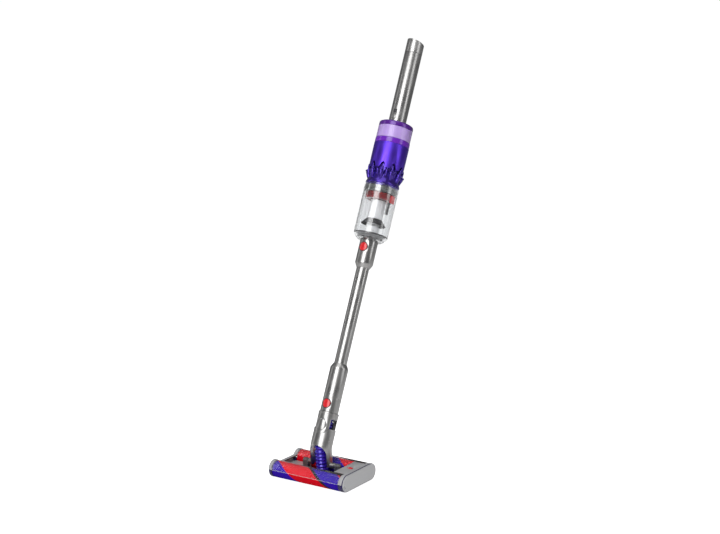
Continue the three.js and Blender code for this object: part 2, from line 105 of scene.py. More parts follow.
class VacuumSettings(bpy.types.PropertyGroup):
    """The colours and fine sizes that a user would change."""

    nickel: tint("Nickel", "Lacquered metal of the grip, wand and neck", (0.43, 0.425, 0.42))
    head_grey: tint("Head grey", "Moulded ends and deck of the head", (0.52, 0.52, 0.53))
    violet: tint("Violet", "Cyclones and their cover", (0.12, 0.05, 0.66))
    lilac: tint("Lilac", "Filter's outer band", (0.6, 0.43, 0.84))
    red: tint("Red", "Release buttons and catches", (0.72, 0.012, 0.02))
    fleece_red: tint("Fleece red", "Main colour of the rollers", (0.62, 0.002, 0.012))
    fleece_violet: tint("Fleece violet", "Stripe colour of the rollers", (0.028, 0.006, 0.34))
    segments: IntProperty(
        name="Round segments", description="Sides of the large round shapes",
        default=96, min=24, max=256)
    edge: FloatProperty(
        name="Edge radius", description="Rounding of moulded edges",
        unit="LENGTH", subtype="DISTANCE", default=0.0005, min=0.0, max=0.002)
    hose_pitch: FloatProperty(
        name="Hose rib pitch", description="Distance from one rib of the hose to the next",
        unit="LENGTH", subtype="DISTANCE", default=0.0085, min=0.004, max=0.02)


# Every finish, by name, filled by the first operator.
MATERIALS = {}


def settings():
    return bpy.context.scene.vacuum_settings


# ---- Modelling helpers ----

def deselect():
    active = bpy.context.view_layer.objects.active
    if active and active.mode != "OBJECT":
        bpy.ops.object.mode_set(mode="OBJECT")
    bpy.ops.object.select_all(action="DESELECT")


def activate(piece):
    deselect()
    piece.select_set(True)
    bpy.context.view_layer.objects.active = piece


def fix_in_place():
    """Makes the active piece's place, turn and size part of its mesh."""
    bpy.ops.object.transform_apply(location=True, rotation=True, scale=True)


def edit(piece, mode="VERT"):
    activate(piece)
    bpy.ops.object.mode_set(mode="EDIT")
    bpy.ops.mesh.select_mode(type=mode)


def edit_all(piece):
    edit(piece)
    bpy.ops.mesh.select_all(action="SELECT")


def extrude(step):
    """Extrudes what is selected along a step in metres."""
    bpy.ops.mesh.extrude_region_move(TRANSFORM_OT_translate={"value": step})


def pick(piece, test):
    """Selects the vertices that pass a test of their place, in millimetres, in edit mode."""
    edit(piece)
    bpy.ops.mesh.select_all(action="DESELECT")
    bpy.ops.object.mode_set(mode="OBJECT")
    for vertex in piece.data.vertices:
        vertex.select = test(vertex.co / MM)
    edit(piece)


def pick_faces(piece, test):
    """Selects the faces whose own direction passes a test, in edit mode."""
    edit(piece, "FACE")
    bpy.ops.mesh.select_all(action="DESELECT")
    bpy.ops.object.mode_set(mode="OBJECT")
    for face in piece.data.polygons:
        face.select = test(face.normal)
    edit(piece, "FACE")


def close_up(piece, fill=False):
    """Merges doubles, fills open ends if asked, and turns all faces outwards."""
    bpy.ops.mesh.select_all(action="SELECT")
    bpy.ops.mesh.remove_doubles(threshold=1e-6)
    if fill:
        bpy.ops.mesh.fill_holes(sides=0)
        bpy.ops.mesh.select_all(action="SELECT")
    bpy.ops.mesh.normals_make_consistent(inside=False)
    bpy.ops.object.mode_set(mode="OBJECT")
    return piece


def turned(name, profile, segments=None, fill=False):
    """A turned shape: a circle, extruded and resized from each [radius, height] to the next."""
    segments = segments or settings().segments
    radius, height = profile[0]
    deselect()
    bpy.ops.mesh.primitive_circle_add(
        vertices=segments, radius=radius * MM, location=(0, 0, height * MM))
    piece = bpy.context.object
    piece.name = name
    edit_all(piece)
    for next_radius, next_height in profile[1:]:
        rise = (0, 0, (next_height - height) * MM)
        extrude(rise)
        scale = next_radius / radius
        if scale != 1:
            bpy.ops.transform.resize(
                value=(scale, scale, 1), center_override=(0, 0, next_height * MM))
        radius, height = next_radius, next_height
    return close_up(piece, fill)


def sleeve(name, inner, outer, bottom, top, lip=0.5):
    """A tube with rounded lips."""
    return turned(name, [
        (inner, bottom + lip), (inner + lip, bottom), (outer - lip, bottom), (outer, bottom + lip),
        (outer, top - lip), (outer - lip, top), (inner + lip, top), (inner, top - lip),
        (inner, bottom + lip)])


def dowel(name, radius, bottom, top, edge=0.4, segments=48):
    """A short round bar with eased ends, along Z."""
    return turned(name, [
        (radius - edge, bottom), (radius, bottom + edge), (radius, top - edge),
        (radius - edge, top)], segments, fill=True)


def block(name, low, high):
    """A box between two corners."""
    low, high = Vector(low) * MM, Vector(high) * MM
    deselect()
    bpy.ops.mesh.primitive_cube_add(size=1, location=(low + high) / 2)
    piece = bpy.context.object
    piece.name = name
    piece.scale = high - low
    fix_in_place()
    return piece


def turn(piece, angle, axis, about=(0, 0, 0)):
    """Turns a finished mesh about an axis through a point, in millimetres."""
    centre = Vector(about) * MM
    rotation = Matrix.Rotation(angle, 4, axis)
    piece.matrix_world = (
        Matrix.Translation(centre) @ rotation @ Matrix.Translation(-centre) @ piece.matrix_world)
    activate(piece)
    fix_in_place()
    return piece


def shift(piece, x=0, y=0, z=0):
    activate(piece)
    bpy.ops.transform.translate(value=(x * MM, y * MM, z * MM))
    fix_in_place()
    return piece


def along_x(piece, y=0, z=0):
    """Lays a piece modelled along Z down along X, at the given place."""
    return shift(turn(piece, math.pi / 2, "Y"), 0, y, z)


def along_y(piece, z=0):
    """Lays a piece modelled along Z down so that its Z points to the front."""
    return shift(turn(piece, math.pi / 2, "X"), 0, 0, z)


def carve(piece, *tools, operation="DIFFERENCE"):
    """Cuts, joins or intersects with other shapes, which are used up."""
    for tool in tools:
        activate(piece)
        change = piece.modifiers.new("carve", "BOOLEAN")
        change.object = tool
        change.operation = operation
        change.solver = "EXACT"
        bpy.ops.object.modifier_apply(modifier=change.name)
        bpy.data.objects.remove(tool)
    return piece


def joined(name, pieces):
    """Several shapes as one piece."""
    deselect()
    for piece in pieces:
        piece.select_set(True)
    bpy.context.view_layer.objects.active = pieces[0]
    bpy.ops.object.join()
    pieces[0].name = name
    return pieces[0]


def ring_of(piece, count):
    """Copies of a piece round the Z axis, each with its own mesh, all in one piece."""
    copies = [piece]
    for index in range(1, count):
        activate(piece)
        bpy.ops.object.duplicate()
        copies.append(turn(bpy.context.object, index * math.tau / count, "Z"))
    return joined(piece.name, copies)


def ease(piece, width=None, angle=35, segments=2):
    """Rounds the sharp edges a little, as a mould or a lathe leaves them."""
    width = settings().edge if width is None else width * MM
    activate(piece)
    bevel = piece.modifiers.new("ease", "BEVEL")
    bevel.width = width
    bevel.segments = segments
    bevel.limit_method = "ANGLE"
    bevel.angle_limit = math.radians(angle)
    bevel.miter_outer = "MITER_ARC"
    bpy.ops.object.modifier_apply(modifier=bevel.name)
    return piece


def thicken(skin, thickness):
    """Gives a skin a wall on its inner side."""
    activate(skin)
    wall = skin.modifiers.new("wall", "SOLIDIFY")
    wall.thickness = thickness * MM
    wall.offset = -1
    bpy.ops.object.modifier_apply(modifier=wall.name)
    return skin


def settle(piece, place, finish, slot, *nodes, smooth=35):
    """Puts a finished mesh in its place in the frame and gives it its finish."""
    piece.matrix_world = place @ piece.matrix_world
    activate(piece)
    fix_in_place()
    bpy.ops.object.shade_smooth_by_angle(angle=math.radians(smooth))
    piece.data.materials.clear()
    piece.data.materials.append(MATERIALS[finish])
    if nodes:
        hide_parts(*nodes)
    return piece


def on_stick(piece, body, finish, slot, *nodes, smooth=35):
    """Settles a piece modelled in the stick's own frame and rides it on its body."""
    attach(settle(piece, STICK, finish, slot, *nodes, smooth=smooth), body)


def on_head(piece, body, finish, slot, *nodes, smooth=35):
    """Settles a piece modelled in the head's own frame and rides it on its body."""
    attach(settle(piece, HEAD, finish, slot, *nodes, smooth=smooth), body)


# ---- Shader groups ----

def new_group(name, inputs, outputs):
    """A node group of number sockets, with its inputs' defaults."""
    group = bpy.data.node_groups.new(name, "ShaderNodeTree")
    for label, default in inputs.items():
        socket = group.interface.new_socket(
            name=label, in_out="INPUT", socket_type="NodeSocketFloat")
        socket.default_value = default
    for label in outputs:
        group.interface.new_socket(name=label, in_out="OUTPUT", socket_type="NodeSocketFloat")
    entry = group.nodes.new("NodeGroupInput")
    leave = group.nodes.new("NodeGroupOutput")
    return group, entry, leave


def grain_group():
    """Fine moulded grain and slow smears: a height for bump and a mask for roughness."""
    group, entry, leave = new_group(
        "Grain", {"Scale": 900.0, "Smear": 30.0}, ("Height", "Mask"))
    place = group.nodes.new("ShaderNodeTexCoord")
    fine = group.nodes.new("ShaderNodeTexNoise")
    fine.inputs["Detail"].default_value = 3
    slow = group.nodes.new("ShaderNodeTexNoise")
    slow.inputs["Detail"].default_value = 2
    for noise, label in ((fine, "Scale"), (slow, "Smear")):
        group.links.new(place.outputs["Object"], noise.inputs["Vector"])
        group.links.new(entry.outputs[label], noise.inputs["Scale"])
    group.links.new(fine.outputs["Fac"], leave.inputs["Height"])
    group.links.new(slow.outputs["Fac"], leave.inputs["Mask"])

def wear_group():
    """Rubbed edges: a mask that is 1 on sharp outer edges, broken up by noise."""
    group, entry, leave = new_group("Edge wear", {"Reach": 0.55, "Scale": 260.0}, ("Mask",))
    geometry = group.nodes.new("ShaderNodeNewGeometry")
    place = group.nodes.new("ShaderNodeTexCoord")
    noise = group.nodes.new("ShaderNodeTexNoise")
    group.links.new(place.outputs["Object"], noise.inputs["Vector"])
    group.links.new(entry.outputs["Scale"], noise.inputs["Scale"])
    sharp = group.nodes.new("ShaderNodeMapRange")
    group.links.new(geometry.outputs["Pointiness"], sharp.inputs["Value"])
    group.links.new(entry.outputs["Reach"], sharp.inputs["From Min"])
    sharp.inputs["From Max"].default_value = 0.7
    broken = group.nodes.new("ShaderNodeMath")
    broken.operation = "MULTIPLY"
    group.links.new(sharp.outputs["Result"], broken.inputs[0])
    group.links.new(noise.outputs["Fac"], broken.inputs[1])
    group.links.new(broken.outputs["Value"], leave.inputs["Mask"])


class Finish:
    """One material being put together: its nodes, with the shared groups to hand."""

    def __init__(self, name, roughness=0.4, metallic=0.0):
        self.material = bpy.data.materials.new(name)
        self.material.use_nodes = True
        self.nodes = self.material.node_tree.nodes
        self.links = self.material.node_tree.links
        self.shader = self.nodes["Principled BSDF"]
        self.set("Roughness", roughness)
        self.set("Metallic", metallic)

    def group(self, tree, **values):
        node = self.nodes.new("ShaderNodeGroup")
        node.node_tree = bpy.data.node_groups[tree]
        for label, value in values.items():
            node.inputs[label].default_value = value
        return node

    def mix(self, mask, first, second):
        """A colour that goes from first to second with a mask."""
        node = self.nodes.new("ShaderNodeMix")
        node.data_type = "RGBA"
        self.links.new(mask, node.inputs["Factor"])
        for socket, value in ((node.inputs["A"], first), (node.inputs["B"], second)):
            if isinstance(value, bpy.types.NodeSocket):
                self.links.new(value, socket)
            else:
                socket.default_value = (*value, 1)
        return node.outputs["Result"]

    def dim(self, colour, amount):
        """A colour multiplied by a value."""
        node = self.nodes.new("ShaderNodeMix")
        node.data_type = "RGBA"
        node.blend_type = "MULTIPLY"
        node.inputs["Factor"].default_value = 1.0
        self.links.new(colour, node.inputs["A"])
        self.links.new(amount, node.inputs["B"])
        return node.outputs["Result"]

    def span(self, value, low, high, start=0.0, end=1.0):
        node = self.nodes.new("ShaderNodeMapRange")
        self.links.new(value, node.inputs["Value"])
        node.inputs["From Min"].default_value = start
        node.inputs["From Max"].default_value = end
        node.inputs["To Min"].default_value = low
        node.inputs["To Max"].default_value = high
        return node.outputs["Result"]

    def math(self, operation, first, second=0.0):
        node = self.nodes.new("ShaderNodeMath")
        node.operation = operation
        for socket, value in zip(node.inputs, (first, second)):
            if isinstance(value, bpy.types.NodeSocket):
                self.links.new(value, socket)
            else:
                socket.default_value = value
        return node.outputs["Value"]

    def bump(self, height, strength, distance):
        node = self.nodes.new("ShaderNodeBump")
        node.inputs["Strength"].default_value = strength
        node.inputs["Distance"].default_value = distance
        self.links.new(height, node.inputs["Height"])
        self.set("Normal", node.outputs["Normal"])

    def place(self):
        return self.nodes.new("ShaderNodeTexCoord").outputs["Object"]

    def set(self, label, value):
        """Gives one of the shader's sockets a value, or a link to another socket."""
        socket = self.shader.inputs[label]
        if isinstance(value, bpy.types.NodeSocket):
            self.links.new(value, socket)
        else:
            socket.default_value = value


def shade(colour, factor):
    return tuple(min(1.0, channel * factor) for channel in colour)


def moulded(name, colour, roughness, grain=900.0, depth=0.00002, metallic=0.0, coat=0.0, worn=1.35):
    """Moulded or lacquered surface: fine grain, smeared gloss and lighter rubbed edges."""
    finish = Finish(name, roughness, metallic)
    grained = finish.group("Grain", Scale=grain)
    wear = finish.group("Edge wear")
    base = finish.mix(grained.outputs["Mask"], shade(colour, 0.93), shade(colour, 1.06))
    finish.set("Base Color", finish.mix(wear.outputs["Mask"], base, shade(colour, worn)))
    gloss = finish.span(grained.outputs["Mask"], roughness * 0.8, roughness * 1.25, 0.3, 0.7)
    finish.set("Roughness", gloss)
    finish.bump(grained.outputs["Height"], 0.25, depth)
    finish.set("Coat Weight", coat)
    finish.set("Coat Roughness", 0.06)
    return finish.material


def see_through(name, colour, roughness, transmission, ior, smear=0.02, coat=0.0, veil=0.05):
    """Clear or tinted polycarbonate: plain transmission, with faint smears in its gloss."""
    finish = Finish(name, roughness)
    grained = finish.group("Grain", Scale=600.0)
    finish.set("Base Color", finish.mix(grained.outputs["Mask"], shade(colour, 0.97), colour))
    gloss = finish.span(grained.outputs["Mask"], roughness, roughness + smear, 0.35, 0.75)
    finish.set("Roughness", gloss)
    finish.set("Transmission Weight", transmission)
    finish.set("IOR", ior)
    finish.set("Coat Weight", coat)
    finish.set("Coat Roughness", veil)
    shadow = finish.nodes.new("ShaderNodeLightPath").outputs["Is Shadow Ray"]
    finish.set("Alpha", finish.span(shadow, 1.0, 0.15))
    return finish.material


def fleece_material(name, start, centre_y):
    """Soft roller pile: red and violet bands wound round the roller, with a dark thin one."""
    s = settings()
    finish = Finish(name, 0.95)
    finish.set("Specular IOR Level", 0.08)
    mapping = finish.nodes.new("ShaderNodeMapping")
    finish.links.new(finish.place(), mapping.inputs["Vector"])
    mapping.inputs["Location"].default_value = (0, -centre_y, -ROLLER_RADIUS * MM)
    split = finish.nodes.new("ShaderNodeSeparateXYZ")
    finish.links.new(mapping.outputs["Vector"], split.inputs["Vector"])
    angle = finish.math("ARCTAN2", split.outputs["Z"], split.outputs["Y"])
    period = STRIPE_PERIOD * MM
    wound = finish.math("MULTIPLY", angle, -period / math.tau)
    along = finish.math("ADD", split.outputs["X"], wound)
    along = finish.math("ADD", along, start * MM + 10 * period)
    turnwise = finish.math("MODULO", along, period)
    ramp = finish.nodes.new("ShaderNodeValToRGB")
    ramp.color_ramp.interpolation = "CONSTANT"
    finish.links.new(finish.math("DIVIDE", turnwise, period), ramp.inputs["Fac"])
    bands = [(0.0, s.fleece_violet), (0.409, s.fleece_red), (0.934, (0.02, 0.025, 0.03))]
    while len(ramp.color_ramp.elements) < len(bands):
        ramp.color_ramp.elements.new(0.5)
    for element, (at, colour) in zip(ramp.color_ramp.elements, bands):
        element.position = at
        element.color = (*colour, 1)
    tuft = finish.nodes.new("ShaderNodeTexNoise")
    finish.links.new(finish.place(), tuft.inputs["Vector"])
    tuft.inputs["Scale"].default_value = 1400
    tuft.inputs["Detail"].default_value = 5
    fleck = finish.span(tuft.outputs["Fac"], 0.45, 1.5, 0.25, 0.75)
    finish.set("Base Color", finish.dim(ramp.outputs["Color"], fleck))
    finish.bump(tuft.outputs["Fac"], 0.9, 0.0006)
    return finish.material


def mesh_material(name):
    """Silver screen of the shroud: rows of fine round holes."""
    finish = Finish(name, 0.32, 0.25)
    mapping = finish.nodes.new("ShaderNodeMapping")
    finish.links.new(finish.place(), mapping.inputs["Vector"])
    mapping.inputs["Rotation"].default_value = (LEAN, 0, 0)
    cells = finish.nodes.new("ShaderNodeTexVoronoi")
    cells.inputs["Scale"].default_value = 900
    cells.inputs["Randomness"].default_value = 0.15
    finish.links.new(mapping.outputs["Vector"], cells.inputs["Vector"])
    hole = finish.span(cells.outputs["Distance"], 0.0, 1.0, 0.28, 0.42)
    finish.set("Base Color", finish.mix(hole, (0.5, 0.5, 0.51), (0.92, 0.92, 0.93)))
    finish.bump(hole, 0.4, 0.0002)
    return finish.material


def paper_material(name):
    """Pleated filter paper with a faint fibre."""
    finish = Finish(name, 0.9)
    grained = finish.group("Grain", Scale=1500.0, Smear=120.0)
    fibre = finish.mix(grained.outputs["Height"], (0.62, 0.55, 0.76), (0.86, 0.82, 0.94))
    finish.set("Base Color", fibre)
    finish.bump(grained.outputs["Height"], 0.5, 0.0001)
    return finish.material


def make_materials():
    """Every finish of the vacuum, by name."""
    s = settings()
    grain_group()
    wear_group()
    grey = tuple(s.head_grey)
    violet = tuple(s.violet)
    MATERIALS.update({
        "nickel": moulded("nickel lacquer", tuple(s.nickel), 0.3, 1500.0, 0.000002, 1.0, 0.2, 1.3),
        "head_grey": moulded("head grey", grey, 0.34, 1200.0, 0.00001, 0.35, 0.2),
        "violet": moulded("violet", violet, 0.36, 800.0, 0.000004, 1.0, 0.0, 1.3),
        # The cones are the cover's violet; halving it here is painted shade for the dark gaps
        # between the cones.
        "shaded_cone_violet": moulded("cone violet painted shade", shade(violet, 0.5), 0.24, 800.0, 0.000004, 0.85, 0.4,
                               1.9),
        "cap_purple": moulded("cap purple", (0.1, 0.012, 0.28), 0.25, 900.0, 0.000005, 0.2, 0.4),
        "dark_violet": moulded("dark violet", (0.022, 0.006, 0.13), 0.18, 900.0, 0.000005, 0.1, 0.5),
        "hose_violet": moulded("hose violet", (0.04, 0.012, 0.46), 0.24, 700.0, 0.00001, 0.3, 0.6),
        "hinge_grey": moulded("hinge grey", (0.26, 0.26, 0.27), 0.3, 900.0, 0.00001, 0.9),
        "rim_violet": moulded("rim violet", (0.014, 0.005, 0.085), 0.22, 900.0, 0.00001, 0.1, 0.3),
        "red": moulded("red", tuple(s.red), 0.25, 900.0, 0.000005, 0.0, 0.5),
        "dark_grey": moulded("dark grey", (0.05, 0.05, 0.055), 0.42, 900.0, 0.00003),
        "ring_grey": moulded("ring grey", (0.3, 0.31, 0.31), 0.3, 900.0, 0.00001, 0.9),
        "seal_red": moulded("seal red", (0.18, 0.004, 0.007), 0.25, 900.0, 0.000005, 0.0, 0.5),
        "rubber": moulded("rubber", (0.035, 0.035, 0.038), 0.6, 700.0, 0.00004),
        "silver": moulded("silver", (0.86, 0.86, 0.87), 0.3, 900.0, 0.000005, 0.2),
        "steel": moulded("steel", (0.5, 0.5, 0.51), 0.28, 1100.0, 0.00001, 1.0),
        "copper": moulded("copper", (0.6, 0.25, 0.1), 0.35, 500.0, 0.0002, 0.9),
        "board": moulded("circuit board", (0.02, 0.16, 0.06), 0.4, 400.0, 0.0001),
        "cell": moulded("cell sleeve", (0.06, 0.2, 0.5), 0.35, 600.0, 0.00001),
        "clear": see_through("clear bin", (0.86, 0.87, 0.88), 0.02, 1.0, 1.42, 0.02, 1.0, 0.2),
        "cover": see_through("clear cover", (0.98, 0.95, 0.98), 0.05, 0.985, 1.22, 0.02, 0.2),
        # The lip's finish is milkier than the cover's: a painted highlight for the edge catching the
        # light.
        "cover_edge_highlight": see_through("clear cover edge painted highlight", (1.0, 0.98, 1.0), 0.12, 0.85, 1.3, 0.04),
        "lilac": see_through("lilac band", tuple(s.lilac), 0.3, 0.4, 1.4, 0.1, 1.0, 0.25),
        "exhaust": see_through("exhaust violet", (0.22, 0.03, 0.6), 0.15, 0.4, 1.45, 0.05, 0.4),
        "front_fleece": fleece_material("front fleece", 33, PIVOT.y - ROLLER_Y * MM),
        "rear_fleece": fleece_material("rear fleece", 93.5, PIVOT.y + ROLLER_Y * MM),
        "mesh": mesh_material("shroud mesh"),
        "paper": paper_material("filter paper"),
    })


# ---- Grip, battery and filter ----

def push_button(name, radius, height, wall, proud, dish=0.35):
    """A round button in a curved wall, with a softly dished face that follows the wall."""
    stud = along_y(dowel(name, radius, wall - 6, wall + 4, 0.3, 64), height)
    skin = turned("skin", [
        (wall - 3, height - radius - 3), (wall + proud, height - radius - 3),
        (wall + proud, height + radius + 3), (wall - 3, height + radius + 3),
        (wall - 3, height - radius - 3)])
    carve(stud, skin, operation="INTERSECT")
    return ease(stud, dish, 40, 3)


def button_well(radius, height, wall):
    return along_y(dowel("well", radius, wall - 12, wall + 12, 0.1, 64), height)


def make_grip():
    tube = turned("grip_tube", [
        (18.9, 731), (GRIP_RADIUS, 731), (GRIP_RADIUS, 779.2), (20.6, 779.6), (20.6, 780.2),
        (GRIP_RADIUS, 780.6), (GRIP_RADIUS, 790.6), (GRIP_RADIUS, 816.4), (GRIP_RADIUS, 959.6),
        (20.6, 960), (18.9, 960), (18.9, 731)])
    carve(tube, button_well(5.5, POWER_KEY, GRIP_RADIUS),
          button_well(4.5, BOOST_KEY, GRIP_RADIUS))
    ease(tube, 0.3, 40)
    on_stick(tube, "handheld", "nickel", "nickel_plastic", "handle_tube")
    power = push_button("power_key", 4.9, POWER_KEY, GRIP_RADIUS, 0.4)
    on_stick(power, "power_key", "nickel", "red", "power_button")
    boost = push_button("boost_key", 3.9, BOOST_KEY, GRIP_RADIUS, 0.3)
    on_stick(boost, "boost_key", "dark_grey", "dark_grey", "boost_button")


def make_battery_cap():
    """The grip's top, cut at a slant and rounded over."""
    cap = turned("battery_cap", [
        (18.9, 960.3), (20.6, 960.3), (GRIP_RADIUS, 960.8), (GRIP_RADIUS, 1010)], fill=True)
    edit_all(cap)
    slant = math.radians(13)
    facing = math.radians(35)
    normal = (math.sin(slant) * math.sin(facing), math.sin(slant) * math.cos(facing),
              math.cos(slant))
    bpy.ops.mesh.bisect(
        plane_co=(0, 0, 988.6 * MM), plane_no=normal, use_fill=True, clear_outer=True)
    close_up(cap)
    ease(cap, 3.2, 50, 6)
    on_stick(cap, "battery", "nickel", "nickel_plastic", "battery_end_cap")


def make_filter():
    cap = turned("filter_top", [
        (22.8, 771.2), (40.5, 771.2), (41, 771.7), (41, 778.6), (40.6, 780.4), (39.4, 782),
        (37.2, 783.2), (34.6, 784), (24, 784), (23.1, 783.5), (22.8, 782.6), (22.8, 771.2)])
    on_stick(cap, "filter", "cap_purple", "dark_violet", "filter_cap")
    band = sleeve("filter_band", 39.6, 41, 742.3, 770.9, 0.3)
    on_stick(band, "filter", "lilac", "lilac", "filter_cover")
    media = turned("filter_pleats", [
        (25, 743), (36.5, 743), (36.5, 770.4), (25, 770.4), (25, 743)], 160)
    fold = math.tau / 160
    pick(media, lambda p: p.xy.length > 30 and round(math.atan2(p.y, p.x) / fold) % 2 == 0)
    bpy.ops.transform.resize(value=(0.86, 0.86, 1), center_override=(0, 0, 756 * MM))
    bpy.ops.object.mode_set(mode="OBJECT")
    on_stick(media, "filter", "paper", "filter_paper", "filter_media", smooth=20)
    ring = sleeve("exhaust_band", 38.4, 41.6, 729.6, 741.7, 0.5)
    on_stick(ring, "handheld", "exhaust", "dark_violet", "exhaust_ring")
    skin = sleeve("motor_casing", 34, 37.6, 700, 741, 0.5)
    on_stick(skin, "handheld", "dark_violet", "dark_violet", "motor_bucket")


# ---- Cyclones ----

def arch_tool(half_width, foot, spring, tip, depth, pointed=True):
    """An arch cutter that faces the front, round-topped or, if asked, drawn to a tip."""
    deselect()
    bpy.ops.mesh.primitive_circle_add(
        vertices=32, radius=half_width * MM, fill_type="NGON", location=(0, 0, 0),
        rotation=(math.pi / 2, 0, 0))
    tool = bpy.context.object
    fix_in_place()
    rise = tip - spring
    pick(tool, lambda p: p.z > 0.01)
    bpy.ops.transform.resize(value=(1, 1, rise / half_width), center_override=(0, 0, 0))
    for share, squeeze in ((0.3, 0.94), (0.55, 0.88), (0.75, 0.8), (0.9, 0.7)):
        if pointed:
            pick(tool, lambda p: p.z > share * rise)
            bpy.ops.transform.resize(value=(squeeze, 1, 1), center_override=(0, 0, 0))
    pick(tool, lambda p: p.z < -0.01)
    bpy.ops.transform.translate(value=(0, 0, (foot - spring) * MM))
    edit_all(tool)
    extrude((0, -depth * MM, 0))
    close_up(tool, fill=True)
    return shift(tool, 0, 0, spring)


def make_cyclone_cover():
    cover = turned("cyclone_shell", [
        (39.4, 668.6), (39.7, 668.1), (40.8, 668.1), (41.2, 668.6), (41.5, 677), (41.8, 700),
        (41.8, 728.9), (41.4, 729.3), (39.9, 729.3), (39.9, 700), (39.4, 668.6)], 160)
    arch = shift(arch_tool(7.4, 658, 667.5, 681, 30), 0, -25, 0)
    arches = turn(ring_of(arch, CONE_COUNT), math.pi / CONE_COUNT, "Z")
    carve(cover, arches)
    ease(cover, 0.4, 40)
    on_stick(cover, "handheld", "violet", "violet", "cyclone_cover")


def spiked_cone(name, segments, width, circle, collar):
    """A cone with two beads at its collar and a flame-shaped spike, leaning inwards below."""
    outline = [
        (3.6, -18), (4.6, -14.5), (5.6, -9.8), (6.3, -6.4), (6.9, -5.8), (6.9, -4.6), (6.3, -4.1),
        (6.5, -1.8), (7.6, -1.2), (8, 0.2), (7.6, 1.6), (6.1, 2.3), (4.1, 2.8), (3, 3.8),
        (2.7, 5.5), (2.6, 8), (2, 11.5), (1.1, 15), (0.4, 17)]
    rows = [(radius * width, collar + rise) for radius, rise in outline]
    cone = turned(name, rows, segments, fill=True)
    return shift(turn(cone, 0.2, "X", (0, 0, collar)), 0, -circle, 0)


def make_cyclone_cones():
    """Ten spiked cones in a ring, with a slimmer row behind the gaps, on a waisted base."""
    outer = turn(ring_of(spiked_cone("cyclone_cones", 40, 1.0, 39, CONE_COLLAR), CONE_COUNT),
                 math.pi / CONE_COUNT, "Z")
    inner = ring_of(spiked_cone("inner_cones", 28, 0.62, 35.4, CONE_COLLAR + 3.5), CONE_COUNT)
    base = turned("base", [
        (27, 625.2), (37.6, 625.2), (38.2, 625.8), (38.2, 630), (40, 630.3), (40.8, 631.2),
        (40.8, 632.6), (40, 635), (38.6, 638), (37.2, 641.5), (36.2, 645), (36, 648),
        (36, 694), (33.4, 698), (29, 699), (29, 726), (27, 726), (27, 625.2)])
    cones = joined("cyclone_cones", [base, outer, inner])
    # Cones and base take the darker copy of the cover's violet: painted shade in the gaps between
    # the cones.
    on_stick(cones, "handheld", "shaded_cone_violet", "violet", "cyclone_pack")


# ---- Bin ----

def make_bin():
    bin_wall = turned("bin_wall", [
        (39.2, 508.9), (40.7, 508.9), (41, 509.3), (41, 622), (40.8, 625), (40.2, 627.6),
        (39.4, 629.2), (38.9, 629.6), (38.6, 629.2), (38.9, 626), (39.2, 622), (39.2, 508.9)], 128)
    on_stick(bin_wall, "handheld", "clear", "clear", "clear_bin")
    top = turned("bin_neck_ring", [
        (27, 609.8), (37.6, 609.8), (38.3, 610.4), (38.4, 617), (37.6, 617.4), (37.6, 618),
        (38.4, 618.4), (38.4, 624.2), (37.8, 624.8), (27, 624.8), (27, 609.8)])
    on_stick(top, "handheld", "ring_grey", "dark_grey", "bin_top_ring")
    seal = turned("red_seal_ring", [
        (19.3, 596), (24, 593.6), (31, 593.4), (32.4, 594), (33.2, 596), (33.5, 600), (33.5, 608.6),
        (33, 609.3), (19.3, 609.3), (19.3, 596)])
    on_stick(seal, "handheld", "seal_red", "red", "release_ring")
    catch = carve(block("red_catch", (33.6, -7, 590.2), (37.4, 7, 607.8)),
                  block("slot", (36.4, -4, 594), (40, 4, 597)))
    on_stick(ease(catch, 0.8, 40, 3), "bin_catch", "red", "red", "release_catch")
    rail = carve(block("catch_rail", (25, -3, 562.2), (31, 3, 592.6)),
                 block("groove", (30, -1, 560), (33, 1, 590)))
    on_stick(ease(rail, 0.5, 40), "handheld", "dark_grey", "dark_grey", "release_rail")
    make_shroud()
    make_bin_base()


def make_shroud():
    screen = turned("mesh_shroud", [
        (16.7, 548.4), (18.7, 548.4), (18.9, 548.8), (18.9, 551.4), (18.3, 551.8), (18.3, 588),
        (18.9, 588.6), (18.9, 592.6), (16.7, 592.6), (16.7, 548.4)])
    on_stick(screen, "handheld", "mesh", "silver_mesh", "shroud")
    skirt = turned("rubber_skirt", [
        (16.6, 548), (18.2, 548), (19.4, 546.8), (21.5, 544.2), (26, 538.6), (29.3, 535),
        (29.5, 533.9), (28.6, 533.7), (27.4, 534.4), (22.5, 540), (18, 545.4), (16.6, 546.6),
        (16.6, 548)])
    on_stick(skirt, "handheld", "rubber", "rubber", "wiper_skirt")
    pipe = turned("inlet_tube", [
        (14, 455.2), (15.7, 455.2), (16, 455.6), (16, 512), (16.4, 513), (16.4, 516), (16, 517),
        (16, 527), (16.4, 527.6), (16.4, 529), (16, 529.6), (16, 589.6), (15.6, 590), (14, 590),
        (14, 455.2)])
    on_stick(pipe, "handheld", "silver", "silver_mesh", "inlet_pipe")


